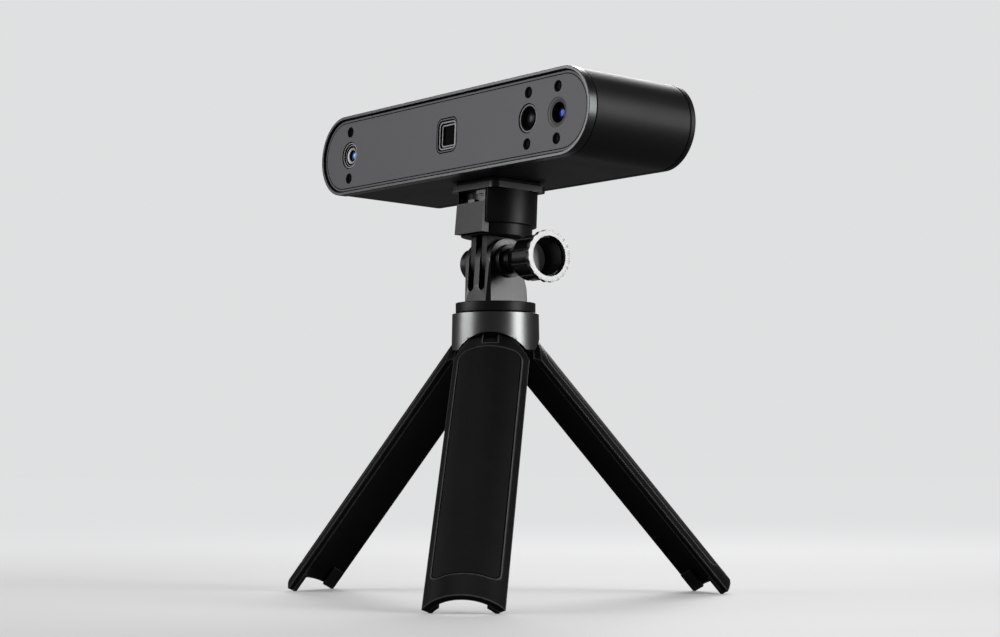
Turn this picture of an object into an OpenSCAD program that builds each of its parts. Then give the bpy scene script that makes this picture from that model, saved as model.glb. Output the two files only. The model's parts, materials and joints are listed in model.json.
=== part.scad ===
// Stereo three-d scanner head on a finger-joint adapter and a mini tripod whose three
// shell legs fold into a handle.
// Millimetres. The origin is on the floor under the tripod's axis, +Z is up, the head's
// length runs along X and its front faces -Y. Head pieces are drawn from the tilt bolt's
// axis and leg pieces are drawn folded. Both are then turned to the places where they rest.

/* [Scanner head] */
// Length of the head
head_w = 164; // [158:1:180]
// Height of the head
head_h = 30; // [30:0.5:34]
// Depth of the head from the front rim to the rear cover
head_d = 46; // [44:0.5:54]
// How far the front rim stands ahead of the tilt bolt
head_front = 24.3; // [23:0.1:26]
// How far the head leans back, in degrees
head_tilt = 2.4; // [0:0.1:12]
// Wall of the housing tube
wall = 1.8; // [1.4:0.1:2]
// Depth of the front bezel
bezel_d = 3.2; // [3:0.1:4]
// Width of the bezel's front lip
lip_w = 1.1; // [1:0.1:1.6]
// How far the front panel lies behind the bezel's lip
panel_recess = 1; // [0.6:0.1:1.2]
// Thickness of the front panel
panel_t = 1.5; // [1.2:0.1:1.6]
// How far the housing stands inside the bezel's outline
body_inset = 0.2; // [0.1:0.05:0.4]
// Thickness of the optical bench
bench_t = 3; // [2.5:0.1:4]
// Thickness of the rear cover
cover_t = 1.8; // [1.5:0.1:2.5]
// Thickness of the two gaskets
gasket_t = 0.4; // [0.3:0.05:0.6]
// Radius of the housing's screw channels
channel_r = 2.9; // [2.5:0.1:2.9]
// Radius of the housing and bench screws
housing_screw_r = 1.2; // [1:0.1:1.4]

/* [Cameras and lamps] */
// Distance of the stereo cameras from the head's ends
camera_end = 18.3; // [16:0.1:19]
// Distance between the colour camera and the right stereo camera
colour_gap = 16.2; // [15.8:0.1:18]
// Radius of a camera's opening in the panel's face
eye_r = 5.15; // [4.9:0.05:5.6]
// Width of each step in a camera's opening
eye_step = 0.8; // [0.6:0.05:0.8]
// Radius of a lens barrel
barrel_r = 4.6; // [4.4:0.1:4.8]
// Length of a lens barrel
barrel_l = 12.5; // [10:0.5:16]
// Radius of a camera's front lens
lens_r = 3.3; // [2.8:0.1:3.4]
// Length of a lens from its seat to its dome
lens_l = 3.4; // [2.5:0.1:4]
// How far the colour camera's lens stands ahead of the others
colour_lens_ahead = 0.7; // [0:0.1:1]
// Width of a sensor board
sensor_w = 15.4; // [12:0.1:15.6]
// Height of a sensor board
sensor_h = 14; // [10:0.1:14]
// Height of the light windows above and below each camera
lamp_z = 8.8; // [8.6:0.1:9]
// Radius of a light window
lamp_r = 1.5; // [1.3:0.1:2]
// Side of a lamp board
lamp_board = 7; // [6:0.1:7]

/* [Projector] */
// Width of the fine line round the projector's opening
frame_w = 12.6; // [12.4:0.1:14]
// Height of the fine line round the projector's opening
frame_h = 12.7; // [12.6:0.1:14]
// Width of the projector's stepped opening
window_w = 11; // [10.4:0.1:11.2]
// Height of the projector's stepped opening
window_h = 11; // [10.4:0.1:11.4]
// Width of each step in the projector's opening
window_step = 1; // [0.8:0.1:1.1]
// Thickness of the projector's window
window_t = 0.6; // [0.4:0.1:0.6]
// Width of the light engine
engine_w = 18; // [16:0.5:24]
// Height of the light engine
engine_h = 16; // [14:0.5:18]
// Depth of the light engine
engine_d = 9.9; // [8:0.1:10]
// Radius of the projector's lens
projector_lens_r = 3.2; // [2.5:0.1:3.3]

/* [Rear and boards] */
// Room between the main board and the screw channels
board_margin = 3.7; // [2:0.1:8]
// Height of the main board
board_h = 21; // [18:0.5:22]
// Thickness of the main board
board_t = 1.6; // [1:0.1:2]
// Room between the main board and the rear cover
board_gap = 4.7; // [4.5:0.1:6]
// Place of the data socket to the right of the middle
socket_x = 26; // [20:0.5:34]
// Width of the data socket's shell
socket_w = 9; // [8.6:0.1:10]
// Height of the data socket's shell
socket_h = 3.3; // [3:0.1:4]
// Radius of the scan button's cap
button_r = 5.5; // [4.5:0.1:6]
// How far the scan button stands out of the rear cover
button_proud = 1; // [0.8:0.1:1.5]
// Travel of the scan button
button_travel = 0.7; // [0.4:0.1:0.8]
// Radius of the status light
status_r = 1.2; // [0.8:0.1:1.6]

/* [Quick release adapter] */
// Length of the plate under the head
plate_w = 28; // [26:0.5:34]
// Depth of the plate under the head
plate_d = 24; // [20:0.5:26]
// Thickness of the plate
plate_t = 2.2; // [1.8:0.1:3]
// Thickness of the rubber pad let into the plate
pad_t = 0.6; // [0.4:0.1:0.8]
// How far the rubber pad stands above the plate
pad_proud = 1.2; // [0.8:0.1:1.6]
// Radius of the camera screw
screw_r = 3.175; // [3:0.005:3.3]
// Radius of the adapter's body
adapter_r = 14.3; // [14:0.1:16]
// Height of the adapter's body
adapter_h = 16.2; // [16:0.1:19]
// How far the release button's face stands ahead of the axis
release_front = 12; // [11.6:0.1:12.2]
// How far the foot of the release button's face stands ahead of its top
release_lean = 0.6; // [0:0.1:0.8]
// Width of the release button
release_w = 16.6; // [15:0.1:16.8]
// Height of the release button
release_h = 11; // [10:0.1:11.2]
// Travel of the release button
release_travel = 1.5; // [1:0.1:1.6]

/* [Finger joint] */
// Width across the three lower fingers
clevis_w = 15.2; // [15:0.1:17]
// Depth of the clevis
clevis_d = 16.1; // [15.5:0.1:17]
// Height of the tilt bolt above the clevis's foot
clevis_h = 14.5; // [13.75:0.05:18]
// Thickness of the clevis under its slots
clevis_base = 4.1; // [3.6:0.05:5]
// Width of the slots between the lower fingers
slot_w = 3.55; // [3.4:0.05:3.8]
// Width of the middle finger
mid_finger = 3.1; // [2.8:0.05:3.4]
// Thickness of the two upper fingers
upper_finger = 3.1; // [2.6:0.05:3.2]
// Radius of the tilt bolt
bolt_r = 2.5; // [2:0.1:2.5]
// How far the nut boss stands out on the left
nut_boss_l = 6; // [5.2:0.1:8]
// Radius of the washer and of the boss under it
washer_r = 5.9; // [5:0.1:6.5]
// Radius of the thumbscrew's rim
knob_r = 9.17; // [9:0.01:10.5]
// Radius of the thumbscrew's lobed barrel
knob_barrel_r = 8; // [7.6:0.1:8.4]
// Inner radius of the thumbscrew's cup
cup_r = 6.65; // [6:0.05:6.8]
// Depth of the thumbscrew's cup
cup_d = 12.3; // [8:0.1:13]
// Distance of the thumbscrew's rim from the tripod's axis
knob_x = 31.6; // [30:0.1:36]

/* [Tripod] */
// Outer radius of the folded handle
leg_r = 15.75; // [15.6:0.05:17]
// Wall of the leg shells
leg_wall = 2.35; // [2.2:0.05:2.6]
// Length of a leg below its hinge pin
leg_len = 115.4; // [90:0.1:140]
// How far the legs open, in degrees
splay = 42; // [30:0.5:45]
// Turn of the front leg from the head's front, in degrees
leg_turn = 47; // [0:1:119]
// Distance of the hinge pins from the tripod's axis
pin_r = 12.6; // [12.4:0.1:12.8]
// Radius of a hinge pin
pin_shank_r = 1; // [0.8:0.05:1.1]
// Height of the collar
collar_h = 13.2; // [12.8:0.1:18]
// Wall of the collar
collar_wall = 1.2; // [0.8:0.1:1.2]
// Radius of the friction disc
disc_r = 14.3; // [13:0.1:15]
// Thickness of the friction disc
disc_t = 4; // [3:0.1:5]
// Depth of the grip pads let into the legs
grip_t = 0.9; // [0.6:0.1:1.2]
// Width of the groove around a grip pad
grip_groove = 0.4; // [0.3:0.05:0.8]
// Thickness of the rubber feet inside the leg ends
foot_t = 1.2; // [1:0.1:2]

/* [Hidden] */
$fn = 64;

// Clearances
fit = 0.05;
slide_gap = 0.3;
run_gap = 0.1;
turn_gap = 0.75;
cut = 1;

// Tripod levels, from the floor up
leg_half_angle = 58.8;
foot_reach = 0.3;
foot_flat = 0.4;
foot_l = 8;
foot_angle = 20;
foot_inner_r = leg_r - leg_wall - foot_t;
foot_drop = (pin_r - foot_inner_r * cos(leg_half_angle)) * sin(splay);
pin_z = (leg_len + foot_reach) * cos(splay) + foot_drop - foot_flat;
knuckle_r = 2.2;
knuckle_half = 5.5;
tongue_half = 2.4;
tongue_gap = 0.2;
leg_apex = pin_z + 2.6;
leg_arch_r = 17;
leg_z0 = pin_z - leg_len;
collar_z0 = pin_z - 2.2;
collar_z1 = collar_z0 + collar_h;
collar_taper = 0.25;
collar_lip = 1.5;
collar_lip_r = 12;
arch_apex = pin_z + 3.85;
arch_r = 15;
core_r = 8.5;
core_z0 = pin_z - 6;
flange_z0 = pin_z + 5;
flange_z1 = collar_z1 - collar_lip;
collar_bore = leg_r - collar_wall;
disc_step = 0.7;
disc_step_h = 0.4;
disc_z0 = collar_z1;
disc_z1 = disc_z0 + disc_t;
grip_w = 22.4;
grip_corner = 3;
grip_z1 = pin_z - 4.6;
grip_z0 = leg_z0 + 9;
azimuths = [leg_turn, leg_turn - 120, leg_turn + 120];

// Finger joint, from the tilt bolt's axis
clevis_z0 = disc_z1 + run_gap;
axis_z = clevis_z0 + clevis_h;
knuckle = clevis_d / 2;
slot_x = (mid_finger + slot_w) / 2;
slot_bottom = clevis_base - clevis_h;
upper_knuckle = knuckle - 0.45;
clevis_flare = 1;
clevis_rear_flare = 1.5;
clevis_rear_waist = 2.5;
corner_cut = 1.4;
hex_flats = 8;
nut_t = 4;
nut_boss_r = 6;
cheek_t = 1.2;
washer_t = 1;
washer_x = clevis_w / 2 + cheek_t;
nut_x = -clevis_w / 2 - nut_boss_l + 0.2;
pan_r = 2.5;
pan_head_t = 2.9;
pan_washer_r = 5.6;
pan_pocket_r = 6.2;
pan_ceiling = pin_z + 2;
pan_nut_z0 = pan_ceiling - run_gap - washer_t - nut_t;
knob_neck_r = 4.6;
knob_x0 = washer_x + washer_t + run_gap;
ring_t = 1.8;
ring_step = 0.45;
ring_x0 = knob_x - ring_t;
cup_x0 = knob_x - cup_d;
floor_t = 1;
flare_l = 6;
flare_r = 5.4;
flare_x1 = cup_x0 + 1.2;
flare_x0 = flare_x1 - flare_l;
lobe_count = 10;
lobe_groove_r = 0.8;
scallop_count = 20;
scallop_r = 3.2;
scallop_d = 0.28;

// Adapter, from the tilt bolt's axis
adapter_z0 = knuckle + turn_gap;
adapter_z1 = adapter_z0 + adapter_h;
adapter_step_z = adapter_z0 + 4.2;
adapter_step = 1.5;
adapter_flat = 0.8;
spigot_r = 9;
spigot_h = 3.2;
screw_head_r = 5;
screw_head_t = 1.2;
spigot_lip = 0.8;
hook_w = 3;
hook_in = spigot_r - 3.9;
hook_t = 0.7;
hook_tip = hook_in + 1.9;
hook_h = 0.8;
hook_gap = 0.1;
spigot_lip_r = hook_in + hook_t + 0.4;
spigot_groove_r = hook_tip + 0.6;
socket_depth = spigot_h + 0.3;
release_z0 = adapter_z0 + 0.6;
release_z1 = release_z0 + release_h;
release_d = 5.5;
latch_t = 0.8;
latch_front = spigot_r + hook_gap + release_travel + latch_t;
latch_base = 1;
latch_tab_x0 = -2.4;
latch_tab_x1 = 1.6;
latch_tab_h = 1.2;
clip_x0 = 2.6;
clip_x1 = 8;
clip_post = 1.1;
clip_foot = 3.6;
clip_foot_h = 2;
clip_bar_z = 2.8;
clip_h = 4.1;
recess_back = 8.1;
release_back = release_front - release_d;
release_pocket_back = release_back - release_travel - slide_gap;
release_spring_r = 1.7;
release_spring_hole_r = 2.3;
release_spring_hole_d = 4;
spring_wire_r = 0.25;

// Head, from the tilt bolt's axis and then from its front plane
plate_z0 = adapter_z1;
plate_z1 = plate_z0 + plate_t;
spigot_z0 = plate_z0 - spigot_h;
hook_z0 = spigot_z0 + spigot_lip + hook_gap;
hook_z1 = hook_z0 + hook_h;
mount_z = plate_z1 + pad_proud;
head_z0 = mount_z - body_inset;
head_zc = head_z0 + head_h / 2;
plate_rim = 1.5;
insert_r = 4.8;
insert_l = 8;
insert_boss_r = 7.5;
panel_gap = 0.55;
panel_inset = lip_w + panel_gap;
panel_back = panel_recess + panel_t;
ridge_w = 0.65;
groove_w = 0.35;
groove_d = 0.4;
ledge = 1.6;
tube_inset = body_inset + wall;
bench_inset = tube_inset + 0.15;
bench_d0 = bezel_d;
bench_d1 = bench_d0 + bench_t;
housing_d0 = bezel_d + gasket_t;
housing_d1 = head_d - cover_t - gasket_t;
cover_d0 = head_d - cover_t;
stereo_x = head_w / 2 - camera_end;
colour_x = stereo_x - colour_gap;
channel_x = (stereo_x + colour_x) / 2;
channel_z = head_h / 2 - tube_inset - channel_r + 0.1;
housing_screw_l = 7;
screw_cap_r = 2;
screw_cap_t = 1.2;
barrel_d0 = panel_back + fit;
barrel_d1 = barrel_d0 + barrel_l;
barrel_flange = 13;
barrel_flange_t = 2;
lens_seat = barrel_d0 + lens_l;
lens_dome = 6;
light_path_r = 2.4;
sensor_t = 1.2;
chip_t = 1;
lamp_back = 0.3;
lamp_board_t = 1;
lamp_chip = 2.4;
lamp_hole_r = 2.2;
frame_line = 0.45;
frame_line_d = 0.3;
frame_corner = 3;
nose_w = window_w - 4 * window_step + 1.6;
nose_h = window_h - 4 * window_step + 1.6;
window_d0 = panel_back;
nose_d0 = window_d0 + window_t;
engine_d0 = bench_d1;
engine_d1 = engine_d0 + engine_d;
sink_h = 12.6;
sink_z0 = -4.8;
sink_base = 2;
fin_l = 9;
fin_t = 1;
fin_count = 6;
board_d1 = cover_d0 - board_gap;
board_d0 = board_d1 - board_t;
standoff_r = 2.4;
board_w = 2 * (channel_x - channel_r - board_margin);
standoff_x = board_w / 2 - 4;
standoff_z = board_h / 2 - 3.4;
board_screw_r = 1;
board_screw_l = 4.5;
cover_ring = 1.4;
cover_ring_l = 3;
cover_ring_inset = tube_inset + 0.2;
socket_out = 0.2;
socket_wall = 0.35;
socket_tongue = 0.7;
status_x = 14;
switch_w = 6;
switch_t = 0.8;
plunger_r = 1.6;
plunger_t = 0.5;
button_flange = 1.3;
button_flange_t = 1;
button_flange_d0 = cover_d0 - slide_gap - button_flange_t;
button_stem_r = 1.8;
button_stem_d0 = board_d1 + switch_t + plunger_t + button_travel + run_gap;
scan_spring_r = 4.9;
camera_xs = [-stereo_x, colour_x, stereo_x];
signs = [-1, 1];

// Outline with two round ends
module stadium(w, h) {
    square([w - h, h], center = true);
    for (s = signs) translate([s * (w - h) / 2, 0]) circle(d = h);
}

// Rectangle with round corners
module rounded(w, h, r) {
    square([w - 2 * r, h], center = true);
    square([w, h - 2 * r], center = true);
    for (sx = signs, sy = signs) translate([sx * (w / 2 - r), sy * (h / 2 - r)]) circle(r);
}

// The head's outline, drawn in by an inset
module head_outline(inset) stadium(head_w - 2 * inset, head_h - 2 * inset);

// Turns what is drawn from the tilt bolt's axis to the head's resting lean
module tilted() translate([0, 0, axis_z]) rotate([-head_tilt, 0, 0]) children();

// Head pieces: X along the head, Y up from its middle, Z out of the front plane
module from_face() tilted() translate([0, -head_front, head_zc]) rotate([90, 0, 0]) children();

// A flat slab and a round slab that start at a depth behind the front plane
module slab(d, t) translate([0, 0, -d - t]) linear_extrude(t) children();
module drum(d, t, r) translate([0, 0, -d - t]) cylinder(r = r, h = t);

// A ring between two insets of the head's outline
module head_ring(d, t, outer, inner) slab(d, t) difference() {
    head_outline(outer);
    head_outline(inner);
}

// Copies for the six lamps, the four housing channels and the main board's standoffs
module at_lamps() for (x = camera_xs, s = signs) translate([x, s * lamp_z, 0]) children();
module at_channels() for (sx = signs, sy = signs)
    translate([sx * channel_x, sy * channel_z, 0]) children();
module at_standoffs() for (sx = signs, sy = signs)
    translate([sx * standoff_x, sy * standoff_z, 0]) children();

// A shaft along X from x0 to x1
module shaft_x(x0, x1, r) translate([x0, 0, 0]) rotate([0, 90, 0]) cylinder(r = r, h = x1 - x0);

// A hexagonal bar along Z with a given distance across its flats
module hex_bar(flats, h) cylinder(r = flats / 2 / cos(30), h = h, $fn = 6);

// A box by its lowest and highest corners
module block(low, high) translate(low) cube(high - low);

// Round wire wound into a coil along Z
module coil(r, wire, turns, h) {
    per_turn = 12;
    sides = 6;
    steps = turns * per_turn;
    rise = (h - 2 * wire) / steps;
    points = [for (i = [0:steps], j = [0:sides - 1])
        let (a = 360 * i / per_turn, b = 360 * j / sides, q = r + wire * cos(b))
        [q * cos(a), q * sin(a), wire + rise * i + wire * sin(b)]];
    skin = [for (i = [0:steps - 1], j = [0:sides - 1])
        let (k = (j + 1) % sides, a = i * sides, b = a + sides)
        each [[a + j, b + j, b + k], [a + j, b + k, a + k]]];
    caps = [[for (j = [0:sides - 1]) j], [for (j = [0:sides - 1]) steps * sides + sides - 1 - j]];
    polyhedron(points, concat(skin, caps));
}

// Front bezel: an outer ring with a lip, and a ledge behind the panel
module front_bezel() color("silver") from_face() difference() {
    slab(0, bezel_d) head_outline(0);
    slab(-cut, panel_back + cut) head_outline(lip_w);
    slab(0, bezel_d + cut) head_outline(lip_w + ledge);
}

// A camera's opening: steps that narrow from the panel's face to its back
module eye_steps() for (i = [0:2])
    drum(panel_recess - cut, cut + panel_t * (i + 1) / 3 + (i == 2 ? cut : 0), eye_r - i * eye_step);

// The projector's opening: nested rounded squares, and the fine line round them
module window_steps() for (i = [0:2])
    slab(panel_recess - cut, cut + panel_t * (i + 1) / 3 + (i == 2 ? cut : 0))
        rounded(window_w - 2 * i * window_step, window_h - 2 * i * window_step, 2.2 - 0.7 * i);
module window_frame() slab(panel_recess - cut, cut + frame_line_d) difference() {
    rounded(frame_w, frame_h, frame_corner);
    rounded(frame_w - 2 * frame_line, frame_h - 2 * frame_line, frame_corner - frame_line);
}

// Front panel with its openings and a groove inside its edge
module front_panel() color("dimgray") from_face() difference() {
    slab(panel_recess, panel_t) head_outline(panel_inset);
    head_ring(panel_recess - cut, cut + groove_d, panel_inset + ridge_w, panel_inset + ridge_w + groove_w);
    for (x = camera_xs) translate([x, 0, 0]) eye_steps();
    at_lamps() drum(panel_recess - cut, panel_t + 2 * cut, lamp_r + fit);
    window_steps();
    window_frame();
}

// Housing tube with its screw channels and the boss of the thread insert
module housing() color("black") difference() {
    union() {
        from_face() head_ring(housing_d0, housing_d1 - housing_d0, body_inset, tube_inset);
        from_face() at_channels() drum(bench_d1, housing_d1 - bench_d1, channel_r);
        tilted() translate([0, 0, mount_z + wall / 2])
            cylinder(r = insert_boss_r, h = insert_l - wall / 2 + 0.6);
    }
    from_face() at_channels() drum(bench_d1 - cut, housing_d1 - bench_d1 + 2 * cut, housing_screw_r + fit);
    tilted() translate([0, 0, mount_z - cut]) cylinder(r = insert_r + fit, h = insert_l + 2 * cut);
}

// Rear cover with its spigot, standoffs and openings
module rear_cover() color("black") from_face() difference() {
    union() {
        slab(cover_d0, cover_t) head_outline(body_inset);
        head_ring(cover_d0 - cover_ring_l, cover_ring_l + fit,
            cover_ring_inset, cover_ring_inset + cover_ring);
        at_standoffs() drum(board_d1, board_gap + fit, standoff_r);
    }
    at_standoffs() drum(board_d1 - cut, board_screw_l - board_t + cut + 0.3, board_screw_r + fit);
    at_channels() drum(cover_d0 - cover_ring_l - cut, cover_ring_l + cut, channel_r + 0.2);
    at_channels() drum(cover_d0 - cut, cover_t + 2 * cut, housing_screw_r + fit);
    at_channels() drum(head_d - screw_cap_t, screw_cap_t + cut, screw_cap_r + fit);
    drum(cover_d0 - cut, cover_t + 2 * cut, button_r + run_gap);
    translate([socket_x, 0, 0]) slab(cover_d0 - cut, cover_t + 2 * cut)
        stadium(socket_w + slide_gap, socket_h + slide_gap);
    translate([status_x, 0, 0]) drum(cover_d0 - cut, cover_t + 2 * cut, status_r + fit);
}

// Gaskets between the bezel, the housing and the rear cover
module gaskets() color("darkslategray") from_face() for (d = [bezel_d, housing_d1])
    head_ring(d, gasket_t, body_inset + 0.3, tube_inset);

// Optical bench that carries the cameras and the projector
module optical_bench() color("lightslategray") from_face() difference() {
    slab(bench_d0, bench_t) head_outline(bench_inset);
    for (x = camera_xs) translate([x, 0, 0]) drum(bench_d0 - cut, bench_t + 2 * cut, barrel_r + fit);
    at_lamps() drum(bench_d0 - cut, bench_t + 2 * cut, lamp_hole_r);
    slab(bench_d0 - cut, bench_t + 2 * cut) square([nose_w + 2 * fit, nose_h + 2 * fit], center = true);
    at_channels() drum(bench_d0 - cut, bench_t + 2 * cut, housing_screw_r + fit);
    at_channels() drum(bench_d0 - cut, screw_cap_t + cut, screw_cap_r + fit);
}

// Screws that hold the bench from the front and the cover from the rear
module housing_screws() color("gray") from_face() at_channels() {
    drum(bench_d0 + fit, screw_cap_t - fit, screw_cap_r);
    drum(bench_d0 + screw_cap_t - fit, housing_screw_l, housing_screw_r);
    difference() {
        union() {
            drum(head_d - screw_cap_t, screw_cap_t, screw_cap_r);
            drum(head_d - screw_cap_t - housing_screw_l, housing_screw_l + fit, housing_screw_r);
        }
        translate([0, 0, -head_d - cut]) hex_bar(1.6, cut + 0.7);
    }
}

// Lens barrel with the square flange that its sensor board is fixed to
module camera_barrel(x) color("black") from_face() translate([x, 0, 0]) difference() {
    union() {
        drum(barrel_d0, barrel_l, barrel_r);
        slab(barrel_d1 - barrel_flange_t, barrel_flange_t) rounded(barrel_flange, barrel_flange, 1);
    }
    drum(barrel_d0 - cut, lens_l + cut, lens_r + fit);
    drum(barrel_d0 - cut, barrel_l + 2 * cut, light_path_r);
}

// Domed lens on the seat inside its barrel
module camera_lens(x, ahead) color("midnightblue") from_face() translate([x, 0, 0]) intersection() {
    drum(lens_seat - lens_l - ahead + fit, lens_l + ahead - fit, lens_r);
    translate([0, 0, -(lens_seat - lens_l - ahead + fit) - lens_dome]) sphere(r = lens_dome);
}

// Sensor board with its chip and plug behind the barrel
module sensor_board(x) color("darkgreen") from_face() translate([x, 0, 0]) {
    slab(barrel_d1, sensor_t) square([sensor_w, sensor_h], center = true);
    slab(barrel_d1 + sensor_t - fit, chip_t) translate([0, sensor_h / 5]) square([6, 5], center = true);
    slab(barrel_d1 + sensor_t - fit, 2 * chip_t) translate([0, -sensor_h / 4]) square([9, 3], center = true);
}

module left_camera_barrel() camera_barrel(-stereo_x);
module left_camera_lens() camera_lens(-stereo_x, 0);
module left_sensor_board() sensor_board(-stereo_x);
module colour_camera_barrel() camera_barrel(colour_x);
module colour_camera_lens() camera_lens(colour_x, colour_lens_ahead);
module colour_sensor_board() sensor_board(colour_x);
module right_camera_barrel() camera_barrel(stereo_x);
module right_camera_lens() camera_lens(stereo_x, 0);
module right_sensor_board() sensor_board(stereo_x);

// Dark windows in the panel, and the lamp boards behind the bench
module lamp_windows() color("black") from_face() at_lamps()
    drum(panel_recess + lamp_back, panel_t - lamp_back, lamp_r);
module lamp_boards() color("darkgreen") from_face() at_lamps() {
    slab(bench_d1, lamp_board_t) square(lamp_board, center = true);
    slab(bench_d1 - lamp_chip / 2, lamp_chip / 2 + fit) square(lamp_chip, center = true);
}

// Projector: window, light engine with its nose in the bench, lens and finned heat sink
module projector_window() color("black") from_face()
    slab(window_d0, window_t) rounded(nose_w, nose_h, 1.2);
module projector_engine() color("gray") from_face() difference() {
    union() {
        slab(engine_d0, engine_d) rounded(engine_w, engine_h, 1);
        slab(nose_d0, engine_d0 - nose_d0 + fit) square([nose_w, nose_h], center = true);
    }
    drum(nose_d0 - cut, engine_d0 - nose_d0 + cut + engine_d / 2, projector_lens_r + fit);
}
module projector_lens() color("midnightblue") from_face() intersection() {
    drum(nose_d0 + 0.2, engine_d0 - nose_d0 + engine_d / 2 - 0.2, projector_lens_r);
    translate([0, 0, -nose_d0 - 0.2 - 2 * lens_dome]) sphere(r = 2 * lens_dome);
}
module projector_heat_sink() color("lightgray") from_face() {
    slab(engine_d1, sink_base) translate([0, sink_z0 + sink_h / 2]) square([engine_w, sink_h], center = true);
    for (i = [0:fin_count - 1])
        slab(engine_d1 + sink_base - fit, fin_l)
            translate([(i / (fin_count - 1) - 0.5) * (engine_w - fin_t), sink_z0 + sink_h / 2])
                square([fin_t, sink_h], center = true);
}

// Main board with its larger chips, and the screws to the rear cover's standoffs
module main_board() color("darkgreen") from_face() difference() {
    union() {
        slab(board_d0, board_t) square([board_w, board_h], center = true);
        for (c = [[-0.29, 1, 14, 14], [0.12, -2, 10, 9], [0.31, 2, 12, 8]])
            slab(board_d0 - chip_t, chip_t + fit)
                translate([c[0] * board_w, c[1]]) square([c[2], c[3]], center = true);
    }
    at_standoffs() drum(board_d0 - cut, board_t + 2 * cut, board_screw_r + fit);
}
module board_screws() color("gray") from_face() at_standoffs() {
    drum(board_d0 - screw_cap_t, screw_cap_t, screw_cap_r);
    drum(board_d0 - fit, board_screw_l, board_screw_r);
}

// Data and power socket: a thin shell with a tongue inside
module data_socket() color("silver") from_face() translate([socket_x, 0, 0]) {
    difference() {
        slab(board_d1, board_gap + cover_t + socket_out) stadium(socket_w, socket_h);
        slab(board_d1 + cut, board_gap + cover_t + socket_out)
            stadium(socket_w - 2 * socket_wall, socket_h - 2 * socket_wall);
    }
    slab(board_d1 + cut - fit, board_gap + cover_t - cut)
        square([socket_w - socket_h, socket_tongue], center = true);
}

// Scan button, its switch on the main board, and its spring
module scan_switch() color("dimgray") from_face() {
    slab(board_d1, switch_t) square(switch_w, center = true);
    drum(board_d1 + switch_t - fit, plunger_t + fit, plunger_r);
}
module scan_button() color("gray") from_face() {
    drum(button_flange_d0 + fit, head_d + button_proud - button_flange_d0 - fit, button_r);
    drum(button_flange_d0, button_flange_t, button_r + button_flange);
    drum(button_stem_d0, button_flange_d0 - button_stem_d0 + fit, button_stem_r);
}
module scan_spring() color("silver") from_face() translate([0, 0, -button_flange_d0 + fit])
    coil(scan_spring_r, spring_wire_r, 3, button_flange_d0 - board_d1 - 2 * fit);
module status_light() color("white") from_face() translate([status_x, 0, 0])
    drum(board_d1, board_gap + cover_t, status_r);

// Brass insert in the head, camera screw, and the plate that it clamps to the head
module thread_insert() color("goldenrod") tilted() difference() {
    translate([0, 0, mount_z]) cylinder(r = insert_r, h = insert_l);
    translate([0, 0, mount_z - cut]) cylinder(r = screw_r + fit, h = insert_l + 2 * cut);
}
module camera_screw() color("silver") tilted() difference() {
    union() {
        translate([0, 0, plate_z0 - screw_head_t]) cylinder(r = screw_head_r, h = screw_head_t);
        translate([0, 0, plate_z0 - fit])
            cylinder(r = screw_r, h = mount_z - plate_z0 + insert_l - 0.5 + fit);
    }
    block([-screw_head_r - cut, -0.6, plate_z0 - screw_head_t - cut],
        [screw_head_r + cut, 0.6, plate_z0 - screw_head_t / 2]);
}
module release_plate() color("dimgray") tilted() difference() {
    union() {
        translate([0, 0, plate_z0]) linear_extrude(plate_t) rounded(plate_w, plate_d, 3);
        translate([0, 0, spigot_z0]) cylinder(r = spigot_r, h = spigot_h + fit);
    }
    translate([0, 0, plate_z1 - pad_t]) linear_extrude(pad_t + cut)
        rounded(plate_w - 2 * plate_rim, plate_d - 2 * plate_rim, 2);
    translate([0, 0, plate_z0 - cut]) cylinder(r = screw_r + fit, h = plate_t + 2 * cut);
    translate([0, 0, spigot_z0 - cut]) cylinder(r = screw_head_r + run_gap, h = spigot_h + cut);
    translate([0, 0, spigot_z0 - cut]) cylinder(r = spigot_lip_r, h = spigot_lip + 2 * cut);
    translate([0, 0, spigot_z0 + spigot_lip]) cylinder(r = spigot_groove_r, h = hook_h + 3 * hook_gap);
}
module plate_pad() color("black") tilted() difference() {
    translate([0, 0, plate_z1 - pad_t]) linear_extrude(pad_t + pad_proud)
        rounded(plate_w - 2 * (plate_rim + fit), plate_d - 2 * (plate_rim + fit), 2);
    translate([0, 0, plate_z1 - pad_t - cut]) cylinder(r = insert_r, h = pad_t + pad_proud + 2 * cut);
}

// Adapter body: a round block with a flat front, its button pocket and two fingers
module adapter_body() color("black") tilted() difference() {
    union() {
        difference() {
            union() {
                translate([0, 0, adapter_step_z]) cylinder(r = adapter_r, h = adapter_z1 - adapter_step_z);
                translate([0, 0, adapter_z0])
                    cylinder(r = adapter_r - adapter_step, h = adapter_step_z - adapter_z0 + fit);
            }
            block([-adapter_r, -adapter_r - cut, adapter_z0 - cut],
                [adapter_r, -release_front + adapter_flat, adapter_z1 + cut]);
        }
        for (s = signs) translate([s * slot_x - upper_finger / 2, 0, 0]) {
            shaft_x(0, upper_finger, upper_knuckle);
            block([0, -upper_knuckle, 0], [upper_finger, upper_knuckle, adapter_z0 + fit]);
        }
    }
    translate([0, 0, adapter_z1 - socket_depth]) cylinder(r = spigot_r + run_gap, h = socket_depth + cut);
    block([-release_w / 2 - slide_gap, -adapter_r - cut, release_z0 - slide_gap],
        [release_w / 2 + slide_gap, -release_pocket_back, release_z1 + slide_gap]);
    block([-release_w / 2 - slide_gap, -adapter_r - cut, release_z1],
        [release_w / 2 + slide_gap, -recess_back, adapter_z1 + cut]);
    block([-hook_w / 2 - slide_gap, -recess_back - cut, release_z1],
        [hook_w / 2 + slide_gap, -hook_in + release_travel + slide_gap, adapter_z1 - socket_depth + cut]);
    shaft_x(-clevis_w, clevis_w, bolt_r + fit);
}

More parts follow.
